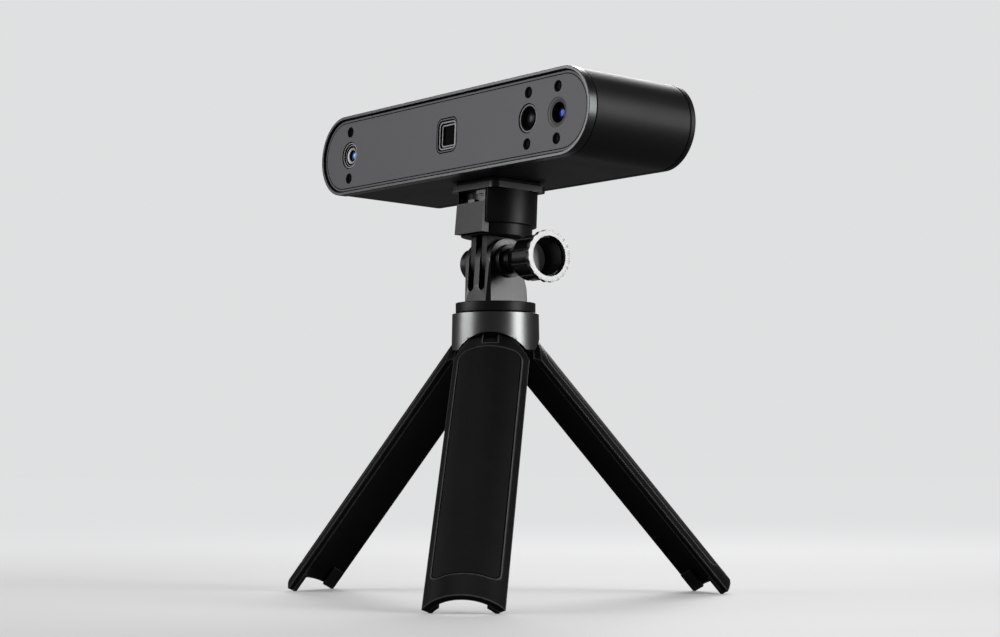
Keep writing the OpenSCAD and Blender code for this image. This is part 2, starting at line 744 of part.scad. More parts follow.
// Release button, the hooked latch and the clip on top of it, and the spring behind it. The hook
// lies on the lip inside the plate's spigot, and a press on the button moves it off the lip.
module release_button() color("darkgray") tilted() difference() {
    translate([-release_w / 2, 0, 0]) rotate([90, 0, 90]) linear_extrude(release_w) polygon([
        [-release_front, release_z1], [-release_front - release_lean, release_z0],
        [-release_back, release_z0], [-release_back, release_z1]]);
    translate([0, -release_back + cut, (release_z0 + release_z1) / 2]) rotate([90, 0, 0])
        cylinder(r = release_spring_hole_r, h = release_spring_hole_d + cut);
}
module release_latch() color("silver") tilted() {
    block([latch_tab_x0, -latch_front, release_z1],
        [latch_tab_x1, -latch_front + latch_t, release_z1 + latch_tab_h]);
    block([-hook_w / 2, -latch_front, release_z1], [hook_w / 2, -hook_in, release_z1 + latch_base]);
    block([-hook_w / 2, -hook_in - hook_t, release_z1], [hook_w / 2, -hook_in, hook_z1]);
    block([-hook_w / 2, -hook_tip, hook_z0], [hook_w / 2, -hook_in, hook_z1]);
    translate([0, -latch_front, release_z1]) {
        block([clip_x1 - clip_post, 0, 0], [clip_x1, latch_t, clip_h]);
        block([clip_x1 - clip_foot, 0, 0], [clip_x1, latch_t, clip_foot_h]);
        block([clip_x0, 0, clip_bar_z], [clip_x1, latch_t, clip_h]);
    }
}
module release_spring() color("silver") tilted()
    translate([0, -release_pocket_back - fit, (release_z0 + release_z1) / 2]) rotate([90, 0, 0])
        coil(release_spring_r, spring_wire_r, 6,
            release_back + release_spring_hole_d - release_pocket_back - 2 * fit);

// The clevis below its bolt: it widens to its foot, more at the rear, and has its four corners cut
module clevis_foot(x, y, rear) intersection() {
    translate([0, 0, -clevis_h]) linear_extrude(clevis_h) polygon([
        [-x + corner_cut, -y], [x - corner_cut, -y], [x, -y + corner_cut], [x, rear - corner_cut],
        [x - corner_cut, rear], [-x + corner_cut, rear], [-x, rear - corner_cut], [-x, -y + corner_cut]]);
    translate([-x, 0, 0]) rotate([90, 0, 90]) linear_extrude(2 * x)
        polygon([[-knuckle, 0], [-y, -clevis_h], [rear, -clevis_h], [knuckle - clevis_rear_waist, 0]]);
}

// Clevis: three fingers on a base, with the nut boss on its left and a cheek on its right
module clevis() color("black") translate([0, 0, axis_z]) difference() {
    union() {
        shaft_x(-clevis_w / 2, clevis_w / 2, knuckle);
        clevis_foot(clevis_w / 2, knuckle + clevis_flare, knuckle + clevis_rear_flare);
        shaft_x(-clevis_w / 2 - nut_boss_l, -clevis_w / 2 + fit, nut_boss_r);
        shaft_x(clevis_w / 2 - fit, washer_x, washer_r);
    }
    for (s = signs) translate([s * slot_x, 0, 0]) {
        block([-slot_w / 2, -clevis_d, slot_bottom + slot_w / 2], [slot_w / 2, clevis_d, clevis_d]);
        translate([0, clevis_d, slot_bottom + slot_w / 2]) rotate([90, 0, 0])
            cylinder(d = slot_w, h = 2 * clevis_d);
    }
    shaft_x(-2 * clevis_w, 2 * clevis_w, bolt_r + fit);
    translate([nut_x + nut_t + fit, 0, 0]) rotate([0, -90, 0]) hex_bar(hex_flats + 2 * fit, nut_t + cut);
    translate([0, 0, -clevis_h - cut]) hex_bar(hex_flats + 2 * fit, pan_head_t + fit + cut);
}

// Captive nut in the boss and the washer under the thumbscrew
module clevis_nut() color("silver") translate([0, 0, axis_z]) difference() {
    translate([nut_x + nut_t, 0, 0]) rotate([0, -90, 0]) hex_bar(hex_flats, nut_t);
    shaft_x(nut_x - cut, nut_x + nut_t + cut, bolt_r + fit);
}
module knob_washer() color("silver") translate([0, 0, axis_z]) difference() {
    shaft_x(washer_x, washer_x + washer_t, washer_r);
    shaft_x(washer_x - cut, washer_x + washer_t + cut, bolt_r + fit);
}

// Pan bolt with its head in the clevis, and its flanged nut under the hub
module pan_bolt() color("silver") {
    translate([0, 0, clevis_z0]) hex_bar(hex_flats, pan_head_t);
    translate([0, 0, pan_nut_z0]) cylinder(r = pan_r, h = clevis_z0 - pan_nut_z0 + fit);
}
module pan_nut() color("silver") translate([0, 0, pan_nut_z0]) difference() {
    union() {
        hex_bar(hex_flats, nut_t + fit);
        translate([0, 0, nut_t]) cylinder(r = pan_washer_r, h = washer_t);
    }
    translate([0, 0, -cut]) cylinder(r = pan_r + fit, h = nut_t + washer_t + 2 * cut);
}

// Thumbscrew: bolt, lobed barrel that flares from its neck and holds a cup, floor and scalloped rim
module tilt_bolt() color("silver") translate([0, 0, axis_z]) shaft_x(nut_x + 0.4, cup_x0, bolt_r);
module knob_barrel() color("black") translate([0, 0, axis_z]) difference() {
    union() {
        shaft_x(knob_x0, flare_x0 + fit, knob_neck_r);
        translate([flare_x0, 0, 0]) rotate([0, 90, 0])
            cylinder(r1 = flare_r, r2 = knob_barrel_r, h = flare_l);
        shaft_x(flare_x1 - fit, ring_x0, knob_barrel_r);
    }
    shaft_x(knob_x0 - cut, cup_x0 + cut, bolt_r + fit);
    shaft_x(cup_x0, knob_x + cut, cup_r);
    for (i = [0:lobe_count - 1]) rotate([360 * i / lobe_count, 0, 0]) translate([0, 0, knob_barrel_r])
        shaft_x(flare_x0, ring_x0 + cut, lobe_groove_r);
}
module knob_floor() color("silver") translate([0, 0, axis_z])
    shaft_x(cup_x0, cup_x0 + floor_t, cup_r - fit);
module knob_ring() color("silver") translate([0, 0, axis_z]) difference() {
    shaft_x(ring_x0, knob_x, knob_r);
    shaft_x(ring_x0 - cut, knob_x + cut, cup_r + ring_step);
    for (i = [0:scallop_count - 1]) rotate([360 * i / scallop_count, 0, 0])
        translate([0, 0, knob_r + scallop_r - scallop_d]) shaft_x(ring_x0 - cut, knob_x + cut, scallop_r);
}

// Friction disc on the collar
module friction_disc() color("black") difference() {
    union() {
        translate([0, 0, disc_z0]) cylinder(r = disc_r - disc_step, h = disc_step_h + fit);
        translate([0, 0, disc_z0 + disc_step_h]) cylinder(r = disc_r, h = disc_t - disc_step_h);
    }
    translate([0, 0, disc_z0 - cut]) cylinder(r = pan_r + fit, h = disc_t + 2 * cut);
}

// Metal collar with an arch over each leg
module collar() color("slategray") difference() {
    translate([0, 0, collar_z0]) cylinder(r1 = leg_r, r2 = leg_r - collar_taper, h = collar_h);
    translate([0, 0, collar_z0 - cut]) cylinder(r = collar_bore, h = collar_h - collar_lip + cut);
    translate([0, 0, collar_z0]) cylinder(r = collar_lip_r, h = collar_h + cut);
    for (a = azimuths) rotate([0, 0, a]) translate([0, 0, arch_apex - arch_r]) rotate([90, 0, 0])
        cylinder(r = arch_r, h = 2 * leg_r);
}

// Hub core with a tongue for each hinge pin and the seat of the pan nut
module hub_core() color("black") difference() {
    union() {
        translate([0, 0, flange_z0]) cylinder(r = collar_bore - run_gap, h = flange_z1 - flange_z0);
        translate([0, 0, flange_z1 - fit]) cylinder(r = collar_lip_r - fit, h = collar_lip + fit);
        translate([0, 0, core_z0]) cylinder(r = core_r, h = flange_z0 - core_z0 + fit);
        for (a = azimuths) rotate([0, 0, a]) {
            translate([0, -pin_r, pin_z]) shaft_x(-tongue_half, tongue_half, knuckle_r);
            block([-tongue_half, -pin_r, pin_z - knuckle_r], [tongue_half, -core_r + cut, flange_z0 + fit]);
        }
    }
    translate([0, 0, core_z0 - cut]) cylinder(r = pan_r + fit, h = collar_z1 - core_z0 + 2 * cut);
    translate([0, 0, core_z0 - cut]) cylinder(r = pan_pocket_r, h = pan_ceiling - core_z0 + cut);
    for (a = azimuths) rotate([0, 0, a]) translate([0, -pin_r, pin_z])
        shaft_x(-tongue_half - cut, tongue_half + cut, pin_shank_r + 0.02);
}

// Hinge pins of the three legs
module hinge_pins() color("silver") for (a = azimuths) rotate([0, 0, a])
    translate([0, -pin_r, pin_z]) shaft_x(-knuckle_half, knuckle_half, pin_shank_r);

// Opens what is drawn folded, for the leg at one azimuth
module opened(a) rotate([0, 0, a]) translate([0, -pin_r, pin_z]) rotate([-splay, 0, 0])
    translate([0, pin_r, -pin_z]) children();

// A sector of the folded handle between two angles from its middle
module sector(a0, a1, z0, z1) translate([0, 0, z0]) linear_extrude(z1 - z0) polygon([
    [0, 0], 3 * leg_r * [sin(a0), -cos(a0)], 4 * leg_r * [sin((a0 + a1) / 2), -cos((a0 + a1) / 2)],
    3 * leg_r * [sin(a1), -cos(a1)]]);

// A tube round the handle's axis
module tube(outer, inner, z0, z1) difference() {
    translate([0, 0, z0]) cylinder(r = outer, h = z1 - z0);
    translate([0, 0, z0 - cut]) cylinder(r = inner, h = z1 - z0 + 2 * cut);
}

// The racetrack of a grip pad, as a prism through the leg's outer wall
module grip_prism(inset) translate([0, 0, (grip_z0 + grip_z1) / 2]) rotate([90, 0, 0])
    translate([0, 0, leg_r / 3]) linear_extrude(leg_r)
        rounded(grip_w - 2 * inset, grip_z1 - grip_z0 - 2 * inset, grip_corner - inset);

// One leg: a third of a tube with an arched top, hinge bosses and a recess for its grip
module leg_shell(a) color("black") opened(a) difference() {
    intersection() {
        union() {
            tube(leg_r, leg_r - leg_wall, leg_z0, leg_apex);
            intersection() {
                translate([0, -pin_r, pin_z]) shaft_x(-knuckle_half, knuckle_half, knuckle_r);
                translate([0, 0, leg_z0]) cylinder(r = leg_r, h = leg_len + knuckle_r + cut);
            }
        }
        sector(-leg_half_angle, leg_half_angle, leg_z0 - cut, leg_apex + cut);
        union() {
            block([-2 * leg_r, -2 * leg_r, leg_z0 - cut], [2 * leg_r, 0, leg_apex - leg_arch_r]);
            translate([0, 0, leg_apex - leg_arch_r]) rotate([90, 0, 0])
                cylinder(r = leg_arch_r, h = 2 * leg_r);
        }
    }
    block([-tongue_half - tongue_gap, -2 * leg_r, pin_z - knuckle_r - 0.4],
        [tongue_half + tongue_gap, 0, leg_apex + cut]);
    translate([0, -pin_r, pin_z]) shaft_x(-knuckle_half - run_gap, knuckle_half + run_gap, pin_shank_r + fit);
    intersection() {
        tube(leg_r + cut, leg_r - grip_t, grip_z0 - cut, grip_z1 + cut);
        grip_prism(0);
    }
}
module leg_grip(a) color("dimgray") opened(a) intersection() {
    tube(leg_r, leg_r - grip_t + 0.02, grip_z0, grip_z1);
    grip_prism(grip_groove);
}

module front_leg() leg_shell(azimuths[0]);
module front_grip() leg_grip(azimuths[0]);
module left_leg() leg_shell(azimuths[1]);
module left_grip() leg_grip(azimuths[1]);
module right_leg() leg_shell(azimuths[2]);
module right_grip() leg_grip(azimuths[2]);

// Rubber feet inside the two corners of a leg's end, cut flat on the floor
module leg_feet(a) color("black") difference() {
    opened(a) intersection() {
        tube(leg_r - leg_wall - fit, foot_inner_r, leg_z0 - foot_reach, leg_z0 + foot_l);
        union() for (s = signs) sector(s * leg_half_angle, s * (leg_half_angle - foot_angle),
            leg_z0 - foot_reach - cut, leg_z0 + foot_l + cut);
    }
    translate([0, 0, -leg_r]) cylinder(r = 2 * leg_len, h = leg_r);
}

module front_feet() leg_feet(azimuths[0]);
module left_feet() leg_feet(azimuths[1]);
module right_feet() leg_feet(azimuths[2]);

front_bezel();
front_panel();
housing();
rear_cover();
gaskets();
optical_bench();
housing_screws();
left_camera_barrel();
left_camera_lens();
left_sensor_board();
colour_camera_barrel();
colour_camera_lens();
colour_sensor_board();
right_camera_barrel();
right_camera_lens();
right_sensor_board();
lamp_windows();
lamp_boards();
projector_window();
projector_engine();
projector_lens();
projector_heat_sink();
main_board();
board_screws();
data_socket();
scan_switch();
scan_button();
scan_spring();
status_light();
thread_insert();
camera_screw();
release_plate();
plate_pad();
adapter_body();
release_button();
release_latch();
release_spring();
clevis();
clevis_nut();
knob_washer();
pan_bolt();
pan_nut();
tilt_bolt();
knob_barrel();
knob_floor();
knob_ring();
friction_disc();
collar();
hub_core();
hinge_pins();
front_leg();
front_grip();
front_feet();
left_leg();
left_grip();
left_feet();
right_leg();
right_grip();
right_feet();
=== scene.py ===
"""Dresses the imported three-d scanner: finishes, refined pieces, studio and camera.

Everything is in metres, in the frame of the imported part: the origin is on the floor under the
tripod's axis, +Z is up, the scanner head lies along X and its front faces -Y.
"""

from __future__ import annotations

import json
import logging
import math
from dataclasses import dataclass, field, replace
from enum import Enum
from typing import Any, Iterable, Sequence, Union

import bmesh
import bpy
from mathutils import Matrix, Vector

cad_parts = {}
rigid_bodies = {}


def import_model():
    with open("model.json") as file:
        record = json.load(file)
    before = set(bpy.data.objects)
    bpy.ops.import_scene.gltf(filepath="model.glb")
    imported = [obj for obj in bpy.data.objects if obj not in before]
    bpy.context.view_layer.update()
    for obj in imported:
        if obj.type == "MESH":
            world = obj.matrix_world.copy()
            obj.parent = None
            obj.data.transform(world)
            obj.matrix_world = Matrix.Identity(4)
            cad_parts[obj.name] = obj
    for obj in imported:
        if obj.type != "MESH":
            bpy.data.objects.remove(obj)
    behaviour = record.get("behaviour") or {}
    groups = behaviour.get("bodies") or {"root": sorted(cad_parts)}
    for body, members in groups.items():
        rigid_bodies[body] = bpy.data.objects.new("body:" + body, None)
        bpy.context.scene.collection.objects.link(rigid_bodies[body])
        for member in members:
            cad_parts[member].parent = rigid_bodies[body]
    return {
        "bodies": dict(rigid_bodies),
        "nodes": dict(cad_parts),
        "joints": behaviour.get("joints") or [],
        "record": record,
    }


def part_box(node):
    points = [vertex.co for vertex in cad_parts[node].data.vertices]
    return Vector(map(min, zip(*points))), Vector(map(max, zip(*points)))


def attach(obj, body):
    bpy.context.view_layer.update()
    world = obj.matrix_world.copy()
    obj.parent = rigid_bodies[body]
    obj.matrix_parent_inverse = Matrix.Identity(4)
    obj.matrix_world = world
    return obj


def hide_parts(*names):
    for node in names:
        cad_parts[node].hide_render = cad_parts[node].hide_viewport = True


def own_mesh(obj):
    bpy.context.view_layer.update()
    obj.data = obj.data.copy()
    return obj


LOG = logging.getLogger("scanner")
MM = 0.001
Colour = tuple[float, float, float]
Value = Union["Wire", float]
Ring = list[bmesh.types.BMVert]


class Wire:
    """A shader socket that takes part in Python expressions on values."""

    def __init__(self, nodes: "Nodes", socket: bpy.types.NodeSocket) -> None:
        """Wraps a socket.

        Args:
            nodes: the tree that the socket belongs to.
            socket: the output that an expression starts from.
        """
        self.nodes = nodes
        self.socket = socket

    def _math(self, operation: str, first: Value, second: Value = 0.0) -> "Wire":
        """Adds one Math node.

        Args:
            operation: Blender's name of the operation.
            first: the first operand.
            second: the second operand, where there is one.

        Returns:
            The node's result.
        """
        made = self.nodes.node("ShaderNodeMath", {"operation": operation}, {0: first, 1: second})
        return Wire(self.nodes, made.outputs[0])

    def __add__(self, other: Value) -> "Wire":
        """Sum."""
        return self._math("ADD", self, other)

    def __radd__(self, other: Value) -> "Wire":
        """Sum, with the number on the left."""
        return self._math("ADD", other, self)

    def __sub__(self, other: Value) -> "Wire":
        """Difference."""
        return self._math("SUBTRACT", self, other)

    def __rsub__(self, other: Value) -> "Wire":
        """Difference, with the number on the left."""
        return self._math("SUBTRACT", other, self)

    def __mul__(self, other: Value) -> "Wire":
        """Product."""
        return self._math("MULTIPLY", self, other)

    def __rmul__(self, other: Value) -> "Wire":
        """Product, with the number on the left."""
        return self._math("MULTIPLY", other, self)

    def __truediv__(self, other: Value) -> "Wire":
        """Quotient."""
        return self._math("DIVIDE", self, other)

    def __rtruediv__(self, other: Value) -> "Wire":
        """Quotient, with the number on the left."""
        return self._math("DIVIDE", other, self)

    def __pow__(self, other: Value) -> "Wire":
        """Power."""
        return self._math("POWER", self, other)

    def __rpow__(self, other: Value) -> "Wire":
        """Power, with the number on the left."""
        return self._math("POWER", other, self)

    def sine(self) -> "Wire":
        """Sine, of an angle in radians."""
        return self._math("SINE", self)

    def step(self, low: float, high: float) -> "Wire":
        """Smooth step from 0 at low to 1 at high.

        Args:
            low: where the step starts.
            high: where it ends; it may be less than low.

        Returns:
            The stepped value.
        """
        made = self.nodes.node(
            "ShaderNodeMapRange",
            {"interpolation_type": "SMOOTHSTEP", "clamp": True},
            {"Value": self, "From Min": low, "From Max": high, "To Min": 0.0, "To Max": 1.0},
        )
        return Wire(self.nodes, made.outputs[0])


class Nodes:
    """A node tree, and the one way in which nodes are added to it."""

    def __init__(self, tree: bpy.types.NodeTree) -> None:
        """Starts with an empty tree.

        Args:
            tree: the tree of a material or of the world.
        """
        self.tree = tree
        self.tree.nodes.clear()

    def node(
        self, kind: str, settings: dict[str, Any] | None = None, inputs: dict[Any, Any] | None = None
    ) -> bpy.types.ShaderNode:
        """Adds any node.

        Args:
            kind: Blender's type name of the node.
            settings: properties that are set first.
            inputs: values or links by socket name or number.

        Returns:
            The node.
        """
        made = self.tree.nodes.new(kind)
        for key, value in (settings or {}).items():
            setattr(made, key, value)
        for key, value in (inputs or {}).items():
            self.feed(made.inputs[key], value)
        return made

    def feed(self, socket: bpy.types.NodeSocket, value: Any) -> None:
        """Links or sets one input.

        Args:
            socket: the input.
            value: a wire, another node's output, a number, a colour or a vector.
        """
        if isinstance(value, Wire):
            value = value.socket
        if isinstance(value, bpy.types.NodeSocket):
            self.tree.links.new(value, socket)
        elif socket.type == "RGBA" and len(value) == 3:
            socket.default_value = (*value, 1.0)
        else:
            socket.default_value = value


class Shader(Nodes):
    """The node tree of one material, with a Principled surface at its end."""

    def __init__(self, name: str) -> None:
        """Starts an empty material.

        Args:
            name: the material's name.
        """
        self.material = bpy.data.materials.new(name)
        self.material.use_nodes = True
        super().__init__(self.material.node_tree)
        self.surface = self.node("ShaderNodeBsdfPrincipled")
        self.node("ShaderNodeOutputMaterial", {}, {"Surface": self.surface.outputs["BSDF"]})
        self.place = self.node("ShaderNodeTexCoord").outputs["Object"]

    def set(self, **values: Any) -> None:
        """Sets or links inputs of the Principled surface, named with underscores for blanks."""
        for key, value in values.items():
            self.feed(self.surface.inputs[key.replace("_", " ")], value)

    def noise(self, size: float, detail: float = 2.0, stretch: Vector | None = None) -> Wire:
        """Noise in the object's own space.

        Args:
            size: the size of its features, in metres.
            detail: the number of finer layers.
            stretch: how much longer the features are along each axis.

        Returns:
            A value around one half.
        """
        place = self.place
        if stretch is not None:
            shrink = Vector((1 / stretch.x, 1 / stretch.y, 1 / stretch.z))
            place = self.node(
                "ShaderNodeVectorMath", {"operation": "MULTIPLY"}, {0: place, 1: shrink}
            ).outputs["Vector"]
        made = self.node("ShaderNodeTexNoise", {}, {"Vector": place, "Scale": 1 / size, "Detail": detail})
        return Wire(self, made.outputs[0])

    def pebbles(self, size: float) -> Wire:
        """Rounded cells, as in a moulded grain.

        Args:
            size: the size of a cell, in metres.

        Returns:
            The distance from the middle of each cell, from 0 to about 1.
        """
        made = self.node("ShaderNodeTexVoronoi", {}, {"Vector": self.place, "Scale": 1 / size})
        return Wire(self, made.outputs["Distance"])

    def axis(self, matrix: Matrix) -> tuple[Wire, Wire, Wire]:
        """The place seen from another frame.

        Args:
            matrix: the frame, as it lies in the part's own frame at rest.

        Returns:
            Its three coordinates, in metres.
        """
        back = matrix.inverted()
        parts = []
        for row in range(3):
            dot = self.node(
                "ShaderNodeVectorMath",
                {"operation": "DOT_PRODUCT"},
                {0: self.place, 1: Vector(back[row][:3])},
            )
            parts.append(Wire(self, dot.outputs["Value"]) + back[row][3])
        return parts[0], parts[1], parts[2]

    def edges(self, reach: float) -> Wire:
        """Where the surface turns sharply: where it is abraded first, and where a highlight is painted
        along it.

        Args:
            reach: how far from an edge it shows, in metres.

        Returns:
            1 on an edge and 0 away from it.
        """
        soft = self.node("ShaderNodeBevel", {"samples": 4}, {"Radius": reach}).outputs["Normal"]
        hard = self.node("ShaderNodeNewGeometry").outputs["Normal"]
        dot = self.node("ShaderNodeVectorMath", {"operation": "DOT_PRODUCT"}, {0: soft, 1: hard})
        return (1 - Wire(self, dot.outputs["Value"])).step(0.03, 0.25)

    def mix(self, factor: Value, low: Any, high: Any) -> bpy.types.NodeSocket:
        """Mixes two colours.

        Args:
            factor: 0 gives low and 1 gives high.
            low: a colour or a link.
            high: a colour or a link.

        Returns:
            The mixed colour.
        """
        made = self.node("ShaderNodeMix", {"data_type": "RGBA"}, {0: factor, 6: low, 7: high})
        return made.outputs[2]

    def bump(self, height: Wire, depth: float) -> None:
        """Roughens the surface's normal.

        Args:
            height: the relief, from 0 to 1.
            depth: how deep it is, in metres.
        """
        made = self.node("ShaderNodeBump", {}, {"Strength": 1.0, "Distance": depth, "Height": height})
        self.set(Normal=made.outputs["Normal"])


def scaled(colour: Colour, by: float) -> Colour:
    """A colour made lighter or darker.

    Args:
        colour: the colour.
        by: the factor.

    Returns:
        The new colour.
    """
    return (colour[0] * by, colour[1] * by, colour[2] * by)


@dataclass(frozen=True)
class Moulded:
    """Moulded plastic or rubber with a fine grain, slight blotches, and edges lightened both by abrasion
    and as a painted highlight.
    """

    name: str
    colour: Colour
    roughness: float = 0.5
    grain: float = 0.35 * MM
    depth: float = 0.012 * MM
    gloss: float = 0.4
    sheen: float = 0.0
    edge_wear_and_highlight: float = 0.03
    reach: float = 0.25 * MM
    cloud_size: float = 9 * MM
    smudge_size: float = 2.2 * MM

    def material(self) -> bpy.types.Material:
        """Builds the material.

        Returns:
            The material.
        """
        shader = Shader(self.name)
        grain = shader.pebbles(self.grain)
        cloud = shader.noise(self.cloud_size, 4.0)
        smudge = shader.noise(self.smudge_size, 3.0)
        tone = (cloud * 0.7 + smudge * 0.3).step(0.3, 0.7)
        body = shader.mix(tone, scaled(self.colour, 0.82), scaled(self.colour, 1.2))
        # Edges lightened by abrasion and as a painted highlight.
        edge_rub_and_highlight = shader.edges(self.reach) * (0.55 + smudge * 0.9)
        worn_and_lit_edge = (self.colour[0] + self.edge_wear_and_highlight, self.colour[1] + self.edge_wear_and_highlight, self.colour[2] + self.edge_wear_and_highlight)
        shader.set(
            Base_Color=shader.mix(edge_rub_and_highlight, body, worn_and_lit_edge),
            Roughness=self.roughness + (cloud - 0.5) * 0.14 + (grain - 0.5) * 0.08 - edge_rub_and_highlight * 0.1,
            Specular_IOR_Level=self.gloss,
            Sheen_Weight=self.sheen,
        )
        shader.bump(grain, self.depth)
        return shader.material


@dataclass(frozen=True)
class Blasted:
    """Metal with a fine blasted surface, bare, anodised or painted, brighter on its edges, both by
    abrasion and as a painted highlight.
    """

    name: str
    colour: Colour
    metallic: float = 1.0
    roughness: float = 0.38
    grain: float = 0.12 * MM
    depth: float = 0.004 * MM
    gloss: float = 0.5
    edge_wear_and_highlight: float = 1.3
    reach: float = 0.2 * MM
    cloud_size: float = 14 * MM

    def material(self) -> bpy.types.Material:
        """Builds the material.

        Returns:
            The material.
        """
        shader = Shader(self.name)
        grain = shader.noise(self.grain, 3.0)
        cloud = shader.noise(self.cloud_size, 4.0)
        speck = grain.step(0.42, 0.62)
        tone = cloud * 0.6 + speck * 0.4
        body = shader.mix(tone, scaled(self.colour, 0.88), scaled(self.colour, 1.12))
        # Edges lightened by abrasion and as a painted highlight.
        edge_rub_and_highlight = shader.edges(self.reach) * (0.4 + speck * 0.6)
        shader.set(
            Base_Color=shader.mix(edge_rub_and_highlight, body, scaled(self.colour, self.edge_wear_and_highlight)),
            Roughness=self.roughness + (cloud - 0.5) * 0.1 + (grain - 0.5) * 0.12 - edge_rub_and_highlight * 0.08,
            Metallic=self.metallic,
            Specular_IOR_Level=self.gloss,
        )
        shader.bump(grain, self.depth)
        return shader.material


@dataclass(frozen=True)
class Turned:
    """Metal turned on a lathe about the X axis of a frame, bright only ahead of a plane."""

    name: str
    bright: Colour
    frame: Matrix
    plane: float = -1.0
    dark: Colour = (0.008, 0.008, 0.009)
    roughness: float = 0.42
    pitch: float = 0.2 * MM
    groove: float = 0.002 * MM
    fade: float = 0.06 * MM
    drift_size: float = 3 * MM
    cloud_size: float = 4 * MM

    def material(self) -> bpy.types.Material:
        """Builds the material.

        Returns:
            The material.
        """
        shader = Shader(self.name)
        across, along, up = shader.axis(self.frame)
        radius = (along * along + up * up) ** 0.5
        rings = ((radius + across) * (math.tau / self.pitch) + shader.noise(self.drift_size) * 4.0).sine()
        cloud = shader.noise(self.cloud_size, 3.0)
        face = across.step(self.plane - self.fade, self.plane)
        tone = cloud * 0.7 + rings * 0.1 + 0.1
        metal = shader.mix(tone, scaled(self.bright, 0.86), scaled(self.bright, 1.1))
        shader.set(
            Base_Color=shader.mix(face, self.dark, metal),
            Roughness=self.roughness + (cloud - 0.5) * 0.12 + rings * 0.03,
            Metallic=0.1 + face * 0.2,
        )
        shader.bump(rings * 0.5 + 0.5, self.groove)
        return shader.material


@dataclass(frozen=True)
class Coated:
    """Dark coated glass with a painted reflection beside its middle: a coloured spot with a brighter
    core.
    """

    name: str
    deep: Colour
    painted_reflection: Colour
    sheen: Colour
    frame: Matrix
    radius: float
    roughness: float = 0.12
    gloss: float = 0.5
    offset: float = 0.3
    dust_size: float = 0.5 * MM

    def material(self) -> bpy.types.Material:
        """Builds the material.

        Returns:
            The material.
        """
        shader = Shader(self.name)
        across, up, _ = shader.axis(self.frame)
        aside = across - self.offset * self.radius
        reach = (aside * aside + up * up) ** 0.5 / self.radius
        dust = shader.noise(self.dust_size, 4.0)
        # The spot beside the middle and its core in the sheen colour are a painted reflection.
        painted_reflection_mix = shader.mix(reach.step(0.8, 0.15), self.deep, self.painted_reflection)
        shader.set(
            Base_Color=shader.mix(reach.step(0.36, 0.08), painted_reflection_mix, self.sheen),
            Roughness=self.roughness + dust.step(0.55, 0.8) * 0.03,
            Specular_IOR_Level=self.gloss,
            Specular_Tint=(*self.sheen, 1.0),
        )
        return shader.material


@dataclass(frozen=True)
class Board:
    """A circuit board with tracks under its mask."""

    name: str = "circuit_board"
    mask: Colour = (0.012, 0.09, 0.04)
    track: Colour = (0.03, 0.17, 0.07)
    pad: Colour = (0.6, 0.5, 0.3)
    lane_size: float = 1.2 * MM
    lane_depth: float = 0.03 * MM
    pad_size: float = 2.4 * MM
    cloud_size: float = 3 * MM

    def material(self) -> bpy.types.Material:
        """Builds the material.

        Returns:
            The material.
        """
        shader = Shader(self.name)
        lanes = shader.noise(self.lane_size, 1.0, Vector((6.0, 1.0, 1.0))).step(0.5, 0.54)
        pads = shader.pebbles(self.pad_size).step(0.2, 0.16)
        shader.set(
            Base_Color=shader.mix(pads, shader.mix(lanes, self.mask, self.track), self.pad),
            Roughness=0.35 + shader.noise(self.cloud_size) * 0.2,
            Metallic=pads * 0.8,
        )
        shader.bump(lanes, self.lane_depth)
        return shader.material


Finish = Union[Moulded, Blasted, Turned, Coated, Board]

RIM = Blasted("rim_metal", (0.11, 0.113, 0.115))
# The rim's side is the rim metal darkened: painted shade.
SHADED_RIM_SIDE = Blasted("rim_side", (0.06, 0.064, 0.064), roughness=0.3)
PANEL = Blasted(
    "panel_paint", (0.1, 0.102, 0.109),
    metallic=0.0, roughness=0.46, grain=0.2 * MM, gloss=0.4, edge_wear_and_highlight=1.15,
)
ANODISED = Blasted(
    "dark_anodised", (0.007, 0.007, 0.0075), metallic=0.0, roughness=0.44, gloss=0.22, edge_wear_and_highlight=3.0
)
BLACK = Moulded(
    "black_recess", (0.002, 0.002, 0.002),
    roughness=0.6, grain=0.3 * MM, depth=0.004 * MM, gloss=0.02, edge_wear_and_highlight=0.004,
)
# Bright lips and the lens bezel are lit copies of the camera trims' metal: painted highlight.
LIT_LIP = Blasted("bright_lip", (0.32, 0.325, 0.33), metallic=0.2, roughness=0.4)
GREY_LIP = Blasted("grey_lip", (0.15, 0.155, 0.155), metallic=0.1, roughness=0.45)
LIT_BEZEL = Blasted("lens_bezel", (0.42, 0.43, 0.45), metallic=0.2, roughness=0.4)
# Soft lips are a shaded copy of the same metal: painted shade.
SHADED_LIP = Blasted("soft_lip", (0.062, 0.067, 0.067), metallic=0.0, roughness=0.5)
PLASTIC = Moulded("dark_plastic", (0.008, 0.008, 0.009), roughness=0.4, depth=0.01 * MM, gloss=0.22)
CLEVIS = Moulded("clevis_plastic", (0.006, 0.0065, 0.0065), roughness=0.3, depth=0.008 * MM, gloss=0.6)
